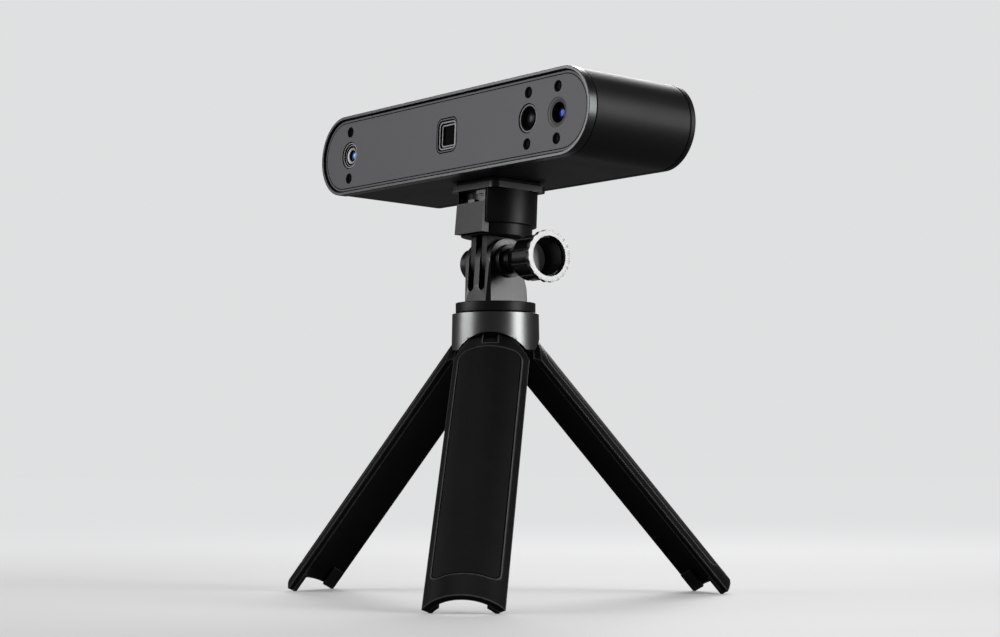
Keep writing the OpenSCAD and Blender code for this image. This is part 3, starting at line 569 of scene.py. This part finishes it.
# The legs' strong, wide edge lightening is a painted highlight along their rounded edges.
LEG = Moulded(
    "leg_plastic", (0.005, 0.005, 0.0055),
    roughness=0.42, grain=0.3 * MM, depth=0.006 * MM, gloss=0.15, edge_wear_and_highlight=0.12, reach=1.2 * MM,
)
GREY_PLASTIC = Moulded(
    "grey_plastic", (0.018, 0.019, 0.019), roughness=0.36, grain=0.3 * MM, depth=0.01 * MM
)
GLOSS = Moulded(
    "gloss_black", (0.003, 0.003, 0.004),
    roughness=0.22, grain=0.6 * MM, depth=0.002 * MM, gloss=0.25, edge_wear_and_highlight=0.01,
)
WINDOW = Moulded(
    "dark_window", (0.002, 0.002, 0.0025),
    roughness=0.3, grain=0.7 * MM, depth=0.002 * MM, gloss=0.015, edge_wear_and_highlight=0.004,
)
ALUMINIUM = Blasted("bare_aluminium", (0.62, 0.63, 0.65), roughness=0.3)
STEEL = Blasted("steel", (0.5, 0.5, 0.52), roughness=0.28, grain=0.3 * MM)
DARK_STEEL = Blasted("dark_steel", (0.1, 0.102, 0.105), roughness=0.3, grain=0.3 * MM)
# The washer's strong edge lightening is a painted highlight, for its bright rim.
BLACK_STEEL = Blasted(
    "black_steel", (0.012, 0.012, 0.013),
    metallic=0.3, roughness=0.3, grain=0.3 * MM, depth=0.003 * MM, edge_wear_and_highlight=30.0,
)
BRASS = Blasted("brass", (0.7, 0.48, 0.18), roughness=0.3)
RUBBER = Moulded(
    "rubber", (0.008, 0.008, 0.008),
    roughness=0.72, grain=0.5 * MM, depth=0.03 * MM, gloss=0.25, sheen=0.05, edge_wear_and_highlight=0.012,
)
GRIP = Moulded(
    "soft_grip", (0.005, 0.005, 0.0055),
    roughness=0.56, grain=0.3 * MM, depth=0.02 * MM, gloss=0.11, sheen=0.02, edge_wear_and_highlight=0.02,
)
COLLAR = Blasted(
    "collar_metal", (0.17, 0.175, 0.171), roughness=0.34, grain=0.1 * MM, depth=0.002 * MM
)
LIGHT_PIPE = Moulded("light_pipe", (0.6, 0.66, 0.62), roughness=0.3, grain=0.4 * MM, depth=0.006 * MM)
BOARD = Board()


@dataclass
class Frame:
    """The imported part, and the places that its joints give."""

    loaded: dict[str, Any]
    tilt_deg: float = 2.4
    head_front: float = 24.3 * MM
    head_middle: float = 43.2 * MM

    def joint(self, name: str) -> dict[str, Any]:
        """What the record says of a joint."""
        return next(row for row in self.loaded["joints"] if row["name"] == name)

    @property
    def bolt(self) -> Matrix:
        """The tilt bolt's frame: X along the bolt, upright."""
        return Matrix.Translation(self.joint("tilt")["pos_m"])

    @property
    def face(self) -> Matrix:
        """The head's front.

        Returns:
            Its frame: X along the head, Y up and Z out of the face.
        """
        lean = Matrix.Rotation(math.radians(-self.tilt_deg), 4, "X")
        front = Matrix.Translation((0.0, -self.head_front, self.head_middle))
        return self.bolt @ lean @ front @ Matrix.Rotation(math.radians(90), 4, "X")

    def node(self, name: str) -> bpy.types.Object:
        """A CAD node's object."""
        return self.loaded["nodes"][name]


class Edge(Enum):
    """How far a CAD node's sharp edges are rounded, in metres; RAW keeps the node as it came."""

    RAW = 0.0
    HAIR = 0.08 * MM
    FINE = 0.15 * MM
    SOFT = 0.3 * MM
    FULL = 0.6 * MM


@dataclass
class Dresser:
    """Gives CAD nodes and pieces their finishes, and rounds the nodes' edges."""

    frame: Frame
    made: dict[str, bpy.types.Material] = field(default_factory=dict)
    weld_gap: float = 0.002 * MM
    sharp_deg: float = 32.0
    segments: int = 2

    def material(self, finish: Finish) -> bpy.types.Material:
        """A finish's material, built once.

        Args:
            finish: the finish.

        Returns:
            Its material.
        """
        if finish.name not in self.made:
            self.made[finish.name] = finish.material()
        return self.made[finish.name]

    def paint(self, piece: bpy.types.Object, finishes: Sequence[Finish]) -> None:
        """Puts finishes on a piece, one for each of its slots.

        Args:
            piece: the piece.
            finishes: its finishes, in the order of its slots.
        """
        slots = piece.data.materials
        for index, finish in enumerate(finishes):
            if index == len(slots):
                slots.append(None)
            slots[index] = self.material(finish)

    def fix(self, piece: bpy.types.Object, finishes: Sequence[Finish], slot: str) -> None:
        """Dresses a new piece and fixes it to the head.

        Args:
            piece: the piece.
            finishes: its finishes, in the order of its slots.
            slot: the record's material slot that it belongs to; not used.
        """
        self.paint(piece, finishes)
        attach(piece, "head")
        LOG.info("made %s", piece.name)

    def node(self, name: str, finish: Finish, edge: Edge) -> None:
        """Dresses a CAD node.

        Args:
            name: the node.
            finish: its finish.
            edge: how its sharp edges are rounded.
        """
        piece = self.frame.node(name)
        self.paint(piece, [finish])
        if edge is not Edge.RAW:
            weld = piece.modifiers.new("weld", "WELD")
            weld.merge_threshold = self.weld_gap
            bevel = piece.modifiers.new("round", "BEVEL")
            bevel.width = edge.value
            bevel.segments = self.segments
            bevel.limit_method = "ANGLE"
            bevel.angle_limit = math.radians(self.sharp_deg)
            bevel.use_clamp_overlap = True
            even = piece.modifiers.new("even", "WEIGHTED_NORMAL")
            even.weight = 100
            for face in piece.data.polygons:
                face.use_smooth = True
        LOG.info("dressed %s", name)

    def table(self, rows: Iterable[tuple[Finish, Edge, Sequence[str]]]) -> None:
        """Dresses many CAD nodes.

        Args:
            rows: a finish, an edge and the nodes that have them.
        """
        for finish, edge, names in rows:
            for name in names:
                self.node(name, finish, edge)


@dataclass(frozen=True)
class Outline:
    """A rounded rectangle that a profile follows; a circle and a slot are rounded rectangles too."""

    half_w: float
    half_h: float
    corner: float
    steps: int = 18

    def at(self, inset: float) -> list[tuple[float, float]]:
        """The outline moved inwards.

        Args:
            inset: how far inwards, less than the corner's radius.

        Returns:
            Its points, anticlockwise from the right.
        """
        centres = ((1, 1), (-1, 1), (-1, -1), (1, -1))
        radius = self.corner - inset
        points = []
        for quarter, (sx, sy) in enumerate(centres):
            for step in range(self.steps + 1):
                angle = math.radians(90) * (quarter + step / self.steps)
                points.append((
                    sx * (self.half_w - self.corner) + radius * math.cos(angle),
                    sy * (self.half_h - self.corner) + radius * math.sin(angle),
                ))
        return points


@dataclass(frozen=True)
class Band:
    """A ring of a profile: its inset, its depth and the slot of the band that follows it."""

    inset: float
    depth: float
    slot: int = 0


FILLET_STEPS = 5


def filleted(
    corners: Sequence[tuple[float, float, float]], steps: int = FILLET_STEPS
) -> list[Band]:
    """A closed profile with rounded corners.

    Args:
        corners: inset, depth and rounding radius of each corner, in millimetres.
        steps: the pieces of each rounding.

    Returns:
        The profile's rings, in metres.
    """
    bands = []
    for index, (x, y, radius) in enumerate(corners):
        here = Vector((x, y))
        if not radius:
            bands.append(Band(x * MM, y * MM))
            continue
        before = (Vector(corners[index - 1][:2]) - here).normalized()
        after = (Vector(corners[(index + 1) % len(corners)][:2]) - here).normalized()
        half = before.angle(after) / 2
        centre = here + (before + after).normalized() * radius / math.sin(half)
        first = here + before * radius / math.tan(half) - centre
        last = here + after * radius / math.tan(half) - centre
        for step in range(steps + 1):
            spoke = centre + first.slerp(last, step / steps).normalized() * radius
            bands.append(Band(spoke.x * MM, spoke.y * MM))
    return bands


class Sculpt:
    """A mesh under construction."""

    merge_gap: float = 1e-7
    dome_back: float = 0.1 * MM
    dome_rings: int = 7
    coil_steps: int = 28
    coil_sides: int = 10
    coil_crowding: float = 0.4

    def __init__(self) -> None:
        """Starts with nothing."""
        self.mesh = bmesh.new()

    def ring(self, points: Iterable[Vector]) -> Ring:
        """Adds the points of one ring."""
        return [self.mesh.verts.new(point) for point in points]

    def band(self, ring: Ring, after: Ring, slot: int) -> None:
        """Joins two rings with smooth faces.

        Args:
            ring: the first ring.
            after: the second one, with as many points.
            slot: the faces' slot.
        """
        for j in range(len(ring)):
            k = (j + 1) % len(ring)
            face = self.mesh.faces.new((ring[j], ring[k], after[k], after[j]))
            face.material_index = slot
            face.smooth = True

    def fan(self, ring: Ring, tip: Vector, slot: int, smooth: bool) -> None:
        """Joins a ring to one point.

        Args:
            ring: the ring.
            tip: the point.
            slot: the faces' slot.
            smooth: whether the faces are shaded smooth.
        """
        end = self.mesh.verts.new(tip)
        for j in range(len(ring)):
            face = self.mesh.faces.new((ring[j], ring[(j + 1) % len(ring)], end))
            face.material_index = slot
            face.smooth = smooth

    def sweep(self, outline: Outline, profile: Sequence[Band], frame: Matrix) -> None:
        """Carries a closed profile round an outline.

        Args:
            outline: the outline.
            profile: the profile's rings, in order.
            frame: where the outline lies; depth goes along its -Z.
        """
        rings = []
        for band in profile:
            points = [frame @ Vector((x, y, -band.depth)) for x, y in outline.at(band.inset)]
            rings.append(self.ring(points))
        for index, ring in enumerate(rings):
            self.band(ring, rings[(index + 1) % len(rings)], profile[index].slot)

    def dome(self, outline: Outline, rise: float, depth: float, frame: Matrix, slot: int = 0) -> None:
        """Adds a shallow closed dome.

        Args:
            outline: the dome's edge.
            rise: the height of its middle over its edge.
            depth: the depth of its edge.
            frame: where it lies.
            slot: its slot.
        """
        rings = []
        for step in range(self.dome_rings):
            share = step / self.dome_rings
            level = depth - rise * (1 - (1 - share) ** 2)
            points = [frame @ Vector((x, y, -level)) for x, y in outline.at(outline.corner * share)]
            rings.append(self.ring(points))
        for ring, after in zip(rings, rings[1:]):
            self.band(ring, after, slot)
        self.fan(rings[-1], frame @ Vector((0.0, 0.0, rise - depth)), slot, True)
        self.fan(rings[0], frame @ Vector((0.0, 0.0, -depth - self.dome_back)), slot, False)

    def coil(self, radius: float, wire: float, turns: int, length: float, frame: Matrix) -> None:
        """Winds a spring of round wire, closer at its ends.

        Args:
            radius: its radius at the middle of the wire.
            wire: the wire's own radius.
            turns: the number of turns.
            length: its length from end to end.
            frame: its middle, with Z along the spring.
        """
        steps = turns * self.coil_steps
        rings = []
        for step in range(steps + 1):
            turn = math.tau * step / self.coil_steps
            share = step / steps
            crowd = self.coil_crowding * math.sin(math.tau * share) / math.tau
            rise = (share - 0.5 - crowd) * (length - 2 * wire)
            points = []
            for side in range(self.coil_sides):
                spin = math.tau * side / self.coil_sides
                reach = radius + wire * math.cos(spin)
                spot = (reach * math.cos(turn), reach * math.sin(turn), rise + wire * math.sin(spin))
                points.append(frame @ Vector(spot))
            rings.append(self.ring(points))
        for ring, after in zip(rings, rings[1:]):
            self.band(ring, after, 0)
        self.mesh.faces.new(rings[0])
        self.mesh.faces.new(rings[-1])

    def piece(self, name: str, sharp_deg: float = 40.0) -> bpy.types.Object:
        """Ends the mesh.

        Args:
            name: the piece's name.
            sharp_deg: edges that turn more than this stay sharp.

        Returns:
            The new object, in the scene.
        """
        bmesh.ops.remove_doubles(self.mesh, verts=self.mesh.verts, dist=self.merge_gap)
        bmesh.ops.recalc_face_normals(self.mesh, faces=self.mesh.faces)
        data = bpy.data.meshes.new(name)
        self.mesh.to_mesh(data)
        self.mesh.free()
        data.set_sharp_from_angle(angle=math.radians(sharp_deg))
        made = bpy.data.objects.new(name, data)
        bpy.context.scene.collection.objects.link(made)
        even = made.modifiers.new("even", "WEIGHTED_NORMAL")
        even.keep_sharp = True
        return made


@dataclass(frozen=True)
class Spring:
    """A coil spring behind a button, wound in place of the plain one."""

    name: str
    node: str
    joint: str
    radius: float
    turns: int
    wire: float = 0.25 * MM

    def build(self, dresser: Dresser) -> None:
        """Winds the spring.

        Args:
            dresser: gives its finish.
        """
        motion = dresser.frame.joint(self.joint)
        axis = Vector(motion["axis"])
        low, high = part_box(self.node)
        middle = (low + high) / 2
        along = [axis.dot(vertex.co) for vertex in dresser.frame.node(self.node).data.vertices]
        length = max(along) - min(along)
        turn = axis.to_track_quat("Z", "Y").to_matrix().to_4x4()
        sculpt = Sculpt()
        sculpt.coil(self.radius, self.wire, self.turns, length, Matrix.Translation(middle) @ turn)
        piece = sculpt.piece(self.name)
        dresser.fix(piece, [STEEL], "steel")
        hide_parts(self.node)
        keep = 1 - motion["range_m"][1] / length
        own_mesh(piece)


@dataclass
class Head:
    """The scanner's head: bezel, panel, cameras, lamps, projector and what is inside."""

    dresser: Dresser
    half_w: float = 82 * MM
    half_h: float = 15 * MM
    stereo_x: float = 63.7 * MM
    colour_x: float = 47.5 * MM
    lamp_z: float = 8.8 * MM
    eye_r: float = 5.1 * MM
    lamp_r: float = 1.46 * MM
    flange_r: float = 2 * MM

    @property
    def face(self) -> Matrix:
        """The head's front."""
        return self.dresser.frame.face

    def place(self, x: float, y: float = 0.0) -> Matrix:
        """A point on the face."""
        return self.face @ Matrix.Translation((x, y, 0.0))

    def bezel(self) -> None:
        """Makes the rim with its rounded edges, in place of the plain one."""
        sculpt = Sculpt()
        depth, seat = 3.2, 2.5
        lip, inner = 1.1, 2.7
        outer = [(0, depth, 0.15), (0, 0, 0.25), (lip, 0, 0.12)]
        profile = filleted([*outer, (lip, seat, 0), (inner, seat, 0), (inner, depth, 0)])
        # The side wall, darkened as painted shade, starts at the last ring of the first rounding.
        profile[FILLET_STEPS] = replace(profile[FILLET_STEPS], slot=1)
        sculpt.sweep(Outline(self.half_w, self.half_h, self.half_h, 32), profile, self.face)
        rim = sculpt.piece("rim")
        self.dresser.fix(rim, [RIM, SHADED_RIM_SIDE], "rim_metal")
        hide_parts("front_bezel")

    def lines(self) -> None:
        """Makes black fillings that are painted shade in the gap round the panel and in the fine lines in
        its face.
        """
        sculpt = Sculpt()
        edge = Outline(self.half_w, self.half_h, self.half_h, 32)
        for outline, first, last, top, floor in (
            (edge, 1.12, 1.63, 1.06, 2.49),
            (edge, 2.31, 2.64, 1.03, 1.39),
            (Outline(6.3 * MM, 6.35 * MM, 3 * MM), 0.01, 0.44, 1.04, 1.29),
        ):
            corners = [(first, floor, 0), (first, top, 0.05), (last, top, 0.05), (last, floor, 0)]
            sculpt.sweep(outline, filleted(corners, 2), self.face)
        self.dresser.fix(sculpt.piece("panel_lines"), [BLACK], "rubber")

    def trim(self, name: str, x: float, rings: Sequence[tuple[float, float, int]], lip: Finish) -> None:
        """Makes the stepped ring in a camera's opening.

        Args:
            name: the piece's name.
            x: the camera's place along the head.
            rings: radius and depth in millimetres, and 1 or 2 where a lip or a lens bezel follows.
            lip: the finish of the lips.
        """
        inner = rings[-1][0]
        steps = ((inner, 2.49), (3.5, 2.49), (3.5, 1.99), (4.3, 1.99), (4.3, 1.49), (5.1, 1.49))
        back = [(radius, depth, 0) for radius, depth in steps]
        profile = [Band(self.eye_r - r * MM, d * MM, slot) for r, d, slot in [*rings, *back]]
        sculpt = Sculpt()
        sculpt.sweep(Outline(self.eye_r, self.eye_r, self.eye_r), profile, self.place(x))
        self.dresser.fix(sculpt.piece(name, 25.0), [BLACK, lip, LIT_BEZEL], "dark_anodised")

    def trims(self) -> None:
        """Makes the rings of all three cameras."""
        stepped = [
            (5.1, 1.05, 0), (5.1, 1.46, 0), (4.82, 1.46, 1), (4.76, 1.32, 1), (4.42, 1.32, 1),
            (4.36, 1.46, 0), (4.3, 1.46, 0), (4.3, 1.96, 0), (4.05, 1.96, 1), (4.0, 1.86, 1),
            (3.8, 1.86, 1), (3.75, 1.96, 0), (3.5, 1.96, 0), (3.5, 2.3, 0), (3.15, 2.3, 2),
            (3.05, 2.05, 2), (2.35, 2.2, 2), (2.15, 2.42, 0),
        ]
        plain = [
            (5.1, 1.03, 1), (5.1, 1.12, 1), (4.3, 1.3, 1), (4.25, 1.34, 1), (3.6, 1.5, 1), (3.5, 1.62, 0),
            (3.4, 2.0, 0), (2.9, 2.3, 0), (2.75, 2.42, 0),
        ]
        domed = [
            (5.1, 1.05, 0), (5.1, 1.46, 0), (4.8, 1.46, 1), (4.74, 1.3, 1), (4.3, 1.3, 1), (4.2, 1.46, 0),
            (3.9, 1.6, 0), (3.5, 1.9, 0), (2.9, 2.42, 0),
        ]
        # The two stereo cameras are one part: the left one's bright lips and lens bezel are painted
        # highlight, the right one's dull lips painted shade.
        self.trim("left_camera_ring", -self.stereo_x, stepped, LIT_LIP)
        self.trim("right_camera_ring", self.stereo_x, plain, SHADED_LIP)
        self.trim("colour_camera_ring", self.colour_x, domed, GREY_LIP)

    def lamps(self) -> None:
        """Makes a flanged matte ring and a small dome in each lamp opening."""
        sculpt = Sculpt()
        edge = Outline(self.flange_r, self.flange_r, self.flange_r, 12)
        dome_r = self.lamp_r - 0.36 * MM
        flange = [(0, 0.995, 0), (0, 0.93, 0.03), (0.5, 0.9, 0.1), (0.86, 1.05, 0.1)]
        ring = filleted([*flange, (0.94, 1.32, 0), (0.54, 1.32, 0), (0.54, 0.995, 0)], 3)
        for x in (-self.stereo_x, self.colour_x, self.stereo_x):
            for y in (-self.lamp_z, self.lamp_z):
                spot = self.place(x, y)
                sculpt.sweep(edge, ring, spot)
                sculpt.dome(Outline(dome_r, dome_r, dome_r, 10), 0.08 * MM, 1.26 * MM, spot, 1)
        self.dresser.fix(sculpt.piece("lamp_domes"), [BLACK, WINDOW], "gloss_black")

    def projector(self) -> None:
        """Makes painted light in front of the projector's window: black step walls as painted shade and
        bright lips on the ledges as painted highlight.
        """
        sculpt = Sculpt()
        for half, corner, depth in ((5.5, 2.2, 1.0), (4.5, 1.5, 1.5)):
            walls = [(0.01, 0.05, 0), (0.01, 0.46, 0), (0.5, 0.46, 1), (0.56, 0.36, 1), (0.94, 0.36, 1)]
            back = [(1.0, 0.47, 0), (1.0, 0.49, 0), (0.0, 0.49, 0), (0.0, 0.05, 0)]
            profile = [Band(x * MM, (depth + d) * MM, slot) for x, d, slot in [*walls, *back]]
            sculpt.sweep(Outline(half * MM, half * MM, corner * MM), profile, self.face)
        rest = [(0.01, 1.97), (0.01, 2.47), (0.3, 2.47), (0.3, 2.49), (0.0, 2.49), (0.0, 1.97)]
        window = [Band(x * MM, d * MM) for x, d in rest]
        sculpt.sweep(Outline(3.5 * MM, 3.5 * MM, 0.8 * MM), window, self.face)
        self.dresser.fix(sculpt.piece("projector_steps", 25.0), [BLACK, LIT_LIP], "dark_anodised")

    def dress(self) -> None:
        """Dresses the head's CAD nodes."""
        left, right = self.place(-self.stereo_x), self.place(self.stereo_x)
        middle = self.place(self.colour_x)
        navy, night, ink = (0.002, 0.004, 0.02), (0.001, 0.001, 0.006), (0.003, 0.003, 0.004)
        # The second colour of each glass and its sheen colour paint a reflection spot into the glass.
        glass = {
            "left": Coated("left_glass", navy, (0.06, 0.26, 0.85), (0.55, 0.85, 1.0), left, 2.2 * MM),
            "right": Coated("right_glass", night, (0.02, 0.03, 0.42), (0.14, 0.2, 0.95), right, 2.4 * MM),
            "colour": Coated(
                "colour_glass", ink, (0.008, 0.008, 0.01), (0.06, 0.06, 0.06), middle, 3 * MM,
                roughness=0.24, gloss=0.3,
            ),
            "projector": Coated(
                "projector_glass", ink, (0.01, 0.01, 0.03), (0.6, 0.6, 0.9), self.face, 3 * MM
            ),
        }
        self.dresser.table([
            (RIM, Edge.RAW, ["front_bezel"]),
            (PANEL, Edge.RAW, ["front_panel"]),
            (ANODISED, Edge.SOFT, ["housing", "rear_cover"]),
            (GREY_PLASTIC, Edge.SOFT, ["projector_engine"]),
            (WINDOW, Edge.RAW, ["lamp_windows", "projector_window"]),
            (ALUMINIUM, Edge.FINE, ["optical_bench", "projector_heat_sink", "scan_button"]),
            (STEEL, Edge.HAIR, ["data_socket", "housing_screws", "board_screws", "camera_screw"]),
            (BRASS, Edge.HAIR, ["thread_insert"]),
            (RUBBER, Edge.HAIR, ["gaskets", "plate_pad", "scan_switch"]),
            (LIGHT_PIPE, Edge.HAIR, ["status_light"]),
            (BOARD, Edge.HAIR, ["main_board", "lamp_boards"]),
            (glass["projector"], Edge.RAW, ["projector_lens"]),
        ])
        for side in ("left", "colour", "right"):
            self.dresser.table([
                (ANODISED, Edge.FINE, [f"{side}_camera_barrel"]),
                (glass[side], Edge.RAW, [f"{side}_camera_lens"]),
                (BOARD, Edge.HAIR, [f"{side}_sensor_board"]),
            ])

    def build(self) -> None:
        """Makes and dresses all of it."""
        self.bezel()
        self.lines()
        self.trims()
        self.lamps()
        self.projector()
        Spring("scan_coil", "scan_spring", "scan_press", radius=4.9 * MM, turns=3).build(self.dresser)
        self.dress()


@dataclass
class Joint:
    """The quick release and the finger joint with its thumbscrew."""

    dresser: Dresser
    knob_x: float = 31.6 * MM

    def dress(self) -> None:
        """Dresses the joint's CAD nodes."""
        bolt = self.dresser.frame.bolt
        ring = Turned("knob_face", (0.52, 0.53, 0.525), bolt, self.knob_x - 0.1 * MM)
        # The cup floor's near-white colour is painted light: it stands in for the light on the floor.
        floor = Blasted("knob_floor", (0.8, 0.82, 0.81), metallic=0.0, roughness=0.5)
        self.dresser.table([
            (PLASTIC, Edge.SOFT, ["adapter_body"]),
            (CLEVIS, Edge.SOFT, ["clevis"]),
            (GREY_PLASTIC, Edge.SOFT, ["release_button", "release_plate"]),
            (DARK_STEEL, Edge.HAIR, ["release_latch"]),
            (GLOSS, Edge.SOFT, ["knob_barrel"]),
            (ring, Edge.FINE, ["knob_ring"]),
            (floor, Edge.HAIR, ["knob_floor"]),
            (BLACK_STEEL, Edge.FINE, ["knob_washer"]),
            (STEEL, Edge.FINE, ["tilt_bolt", "clevis_nut", "pan_bolt", "pan_nut"]),
        ])

    def build(self) -> None:
        """Makes and dresses all of it."""
        Spring("release_coil", "release_spring", "release_press", radius=1.7 * MM, turns=6).build(
            self.dresser
        )
        self.dress()


@dataclass
class Tripod:
    """The friction disc, the collar and the three shell legs."""

    dresser: Dresser

    def dress(self) -> None:
        """Dresses the tripod's CAD nodes."""
        sides = ("front", "left", "right")
        self.dresser.table([
            (PLASTIC, Edge.SOFT, ["friction_disc", "hub_core"]),
            (COLLAR, Edge.FINE, ["collar"]),
            (STEEL, Edge.HAIR, ["hinge_pins"]),
            (LEG, Edge.FULL, [f"{side}_leg" for side in sides]),
            (GRIP, Edge.FINE, [f"{side}_grip" for side in sides]),
            (RUBBER, Edge.HAIR, [f"{side}_feet" for side in sides]),
        ])


@dataclass(frozen=True)
class Softbox:
    """A soft light that points at the part and stays out of the picture."""

    name: str
    place: tuple[float, float, float]
    size: tuple[float, float]
    power: float

    def build(self, aim: Vector) -> None:
        """Hangs the light.

        Args:
            aim: the point that it faces.
        """
        data = bpy.data.lights.new(self.name, "AREA")
        data.shape = "RECTANGLE"
        data.energy = self.power
        data.size, data.size_y = self.size
        lamp = bpy.data.objects.new(self.name, data)
        lamp.location = self.place
        lamp.rotation_mode = "QUATERNION"
        lamp.rotation_quaternion = (aim - Vector(self.place)).to_track_quat("-Z", "Y")
        lamp.visible_camera = False
        bpy.context.scene.collection.objects.link(lamp)


SOFTBOXES = (
    Softbox("front", (-0.47, -0.83, 0.36), (0.7, 0.5), 5.2),
    Softbox("back", (0.84, 0.41, 0.33), (0.46, 0.6), 6.9),
    Softbox("rear", (-0.75, 0.75, 0.7), (0.7, 0.6), 9.0),
    Softbox("top", (0.0, 0.0, 1.2), (1.2, 1.2), 3.5),
)
NOTHING: Colour = (0.0, 0.0, 0.0)


@dataclass
class Studio:
    """Pale floor, soft lights and the camera at the photograph's place."""

    azimuth: float = 53.62
    elevation: float = -3.84
    place: tuple[float, float, float] = (0.6398, -0.46939, 0.046063)
    lens: float = 80.02
    sensor: float = 36.0
    nearest: float = 0.01
    aim: tuple[float, float, float] = (0.0, 0.0, 0.12)
    floor_half: float = 8.0
    floor_fade: tuple[float, float] = (0.2, 0.6)
    floor_tones: tuple[Colour, Colour] = ((0.54, 0.54, 0.54), (0.57, 0.57, 0.57))
    floor_mirrored: float = 0.15
    glow_near: float = 0.25
    glow_mirrored: float = 0.1
    pale: Colour = (0.74, 0.745, 0.75)
    mirrored: Colour = (0.06, 0.06, 0.062)

    def camera(self) -> None:
        """Makes the camera."""
        turn, rise = math.radians(self.azimuth), math.radians(self.elevation)
        back = Vector((math.sin(turn) * math.cos(rise), -math.cos(turn) * math.cos(rise), math.sin(rise)))
        data = bpy.data.cameras.new("camera")
        data.lens = self.lens
        data.sensor_width = self.sensor
        data.clip_start = self.nearest
        eye = bpy.data.objects.new("camera", data)
        eye.location = self.place
        eye.rotation_mode = "QUATERNION"
        eye.rotation_quaternion = (-back).to_track_quat("-Z", "Y")
        bpy.context.scene.collection.objects.link(eye)
        bpy.context.scene.camera = eye

    def floor(self) -> None:
        """Makes the pale floor, which fades into the surroundings and is dim in what the part mirrors."""
        half = self.floor_half
        mesh = bpy.data.meshes.new("floor")
        corners = [(-half, -half, 0), (half, -half, 0), (half, half, 0), (-half, half, 0)]
        mesh.from_pydata(corners, [], [(0, 1, 2, 3)])
        plane = bpy.data.objects.new("floor", mesh)
        bpy.context.scene.collection.objects.link(plane)
        shader = Shader("floor")
        across, along, _ = shader.axis(Matrix.Identity(4))
        far = ((across * across + along * along) ** 0.5).step(*self.floor_fade)
        cloud = shader.noise(0.3, 3.0)
        seen = Wire(shader, shader.node("ShaderNodeLightPath").outputs["Is Camera Ray"])
        near = shader.mix(cloud, *self.floor_tones)
        shown = (1 - far) * (self.floor_mirrored + seen * (1 - self.floor_mirrored))
        glow = self.glow_near + far * (1 - self.glow_near)
        glow = glow * (self.glow_mirrored + seen * (1 - self.glow_mirrored))
        shader.set(
            Base_Color=shader.mix(shown, NOTHING, near),
            Roughness=0.6 + cloud * 0.1,
            Specular_IOR_Level=0.1,
            Emission_Color=shader.mix(glow, NOTHING, self.pale),
            Emission_Strength=1.0,
        )
        mesh.materials.append(shader.material)

    def surroundings(self) -> None:
        """Makes the surroundings: pale behind the part, dimmer in what it mirrors."""
        world = bpy.data.worlds.new("studio")
        bpy.context.scene.world = world
        world.use_nodes = True
        nodes = Nodes(world.node_tree)
        seen = nodes.node("ShaderNodeBackground", {}, {"Color": self.pale})
        mirrored = nodes.node("ShaderNodeBackground", {}, {"Color": self.mirrored})
        rays = nodes.node("ShaderNodeLightPath").outputs["Is Camera Ray"]
        inputs = {0: rays, 1: mirrored.outputs[0], 2: seen.outputs[0]}
        blend = nodes.node("ShaderNodeMixShader", {}, inputs)
        nodes.node("ShaderNodeOutputWorld", {}, {"Surface": blend.outputs[0]})

    def build(self) -> None:
        """Makes all of it, with colours shown as they are."""
        bpy.context.scene.view_settings.view_transform = "Standard"
        self.camera()
        self.floor()
        self.surroundings()
        for softbox in SOFTBOXES:
            softbox.build(Vector(self.aim))


def corners(box: tuple[Vector, Vector]) -> list[list[float]]:
    """A box as plain lists of numbers."""
    return [list(box[0]), list(box[1])]


def main() -> None:
    """Builds the scene in order."""
    logging.basicConfig(level=logging.INFO, format="%(message)s")
    frame = Frame(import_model())
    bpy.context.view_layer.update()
    Studio().build()
    dresser = Dresser(frame)
    Head(dresser).build()
    Joint(dresser).build()
    Tripod(dresser).dress()


if __name__ == "__main__":
    main()
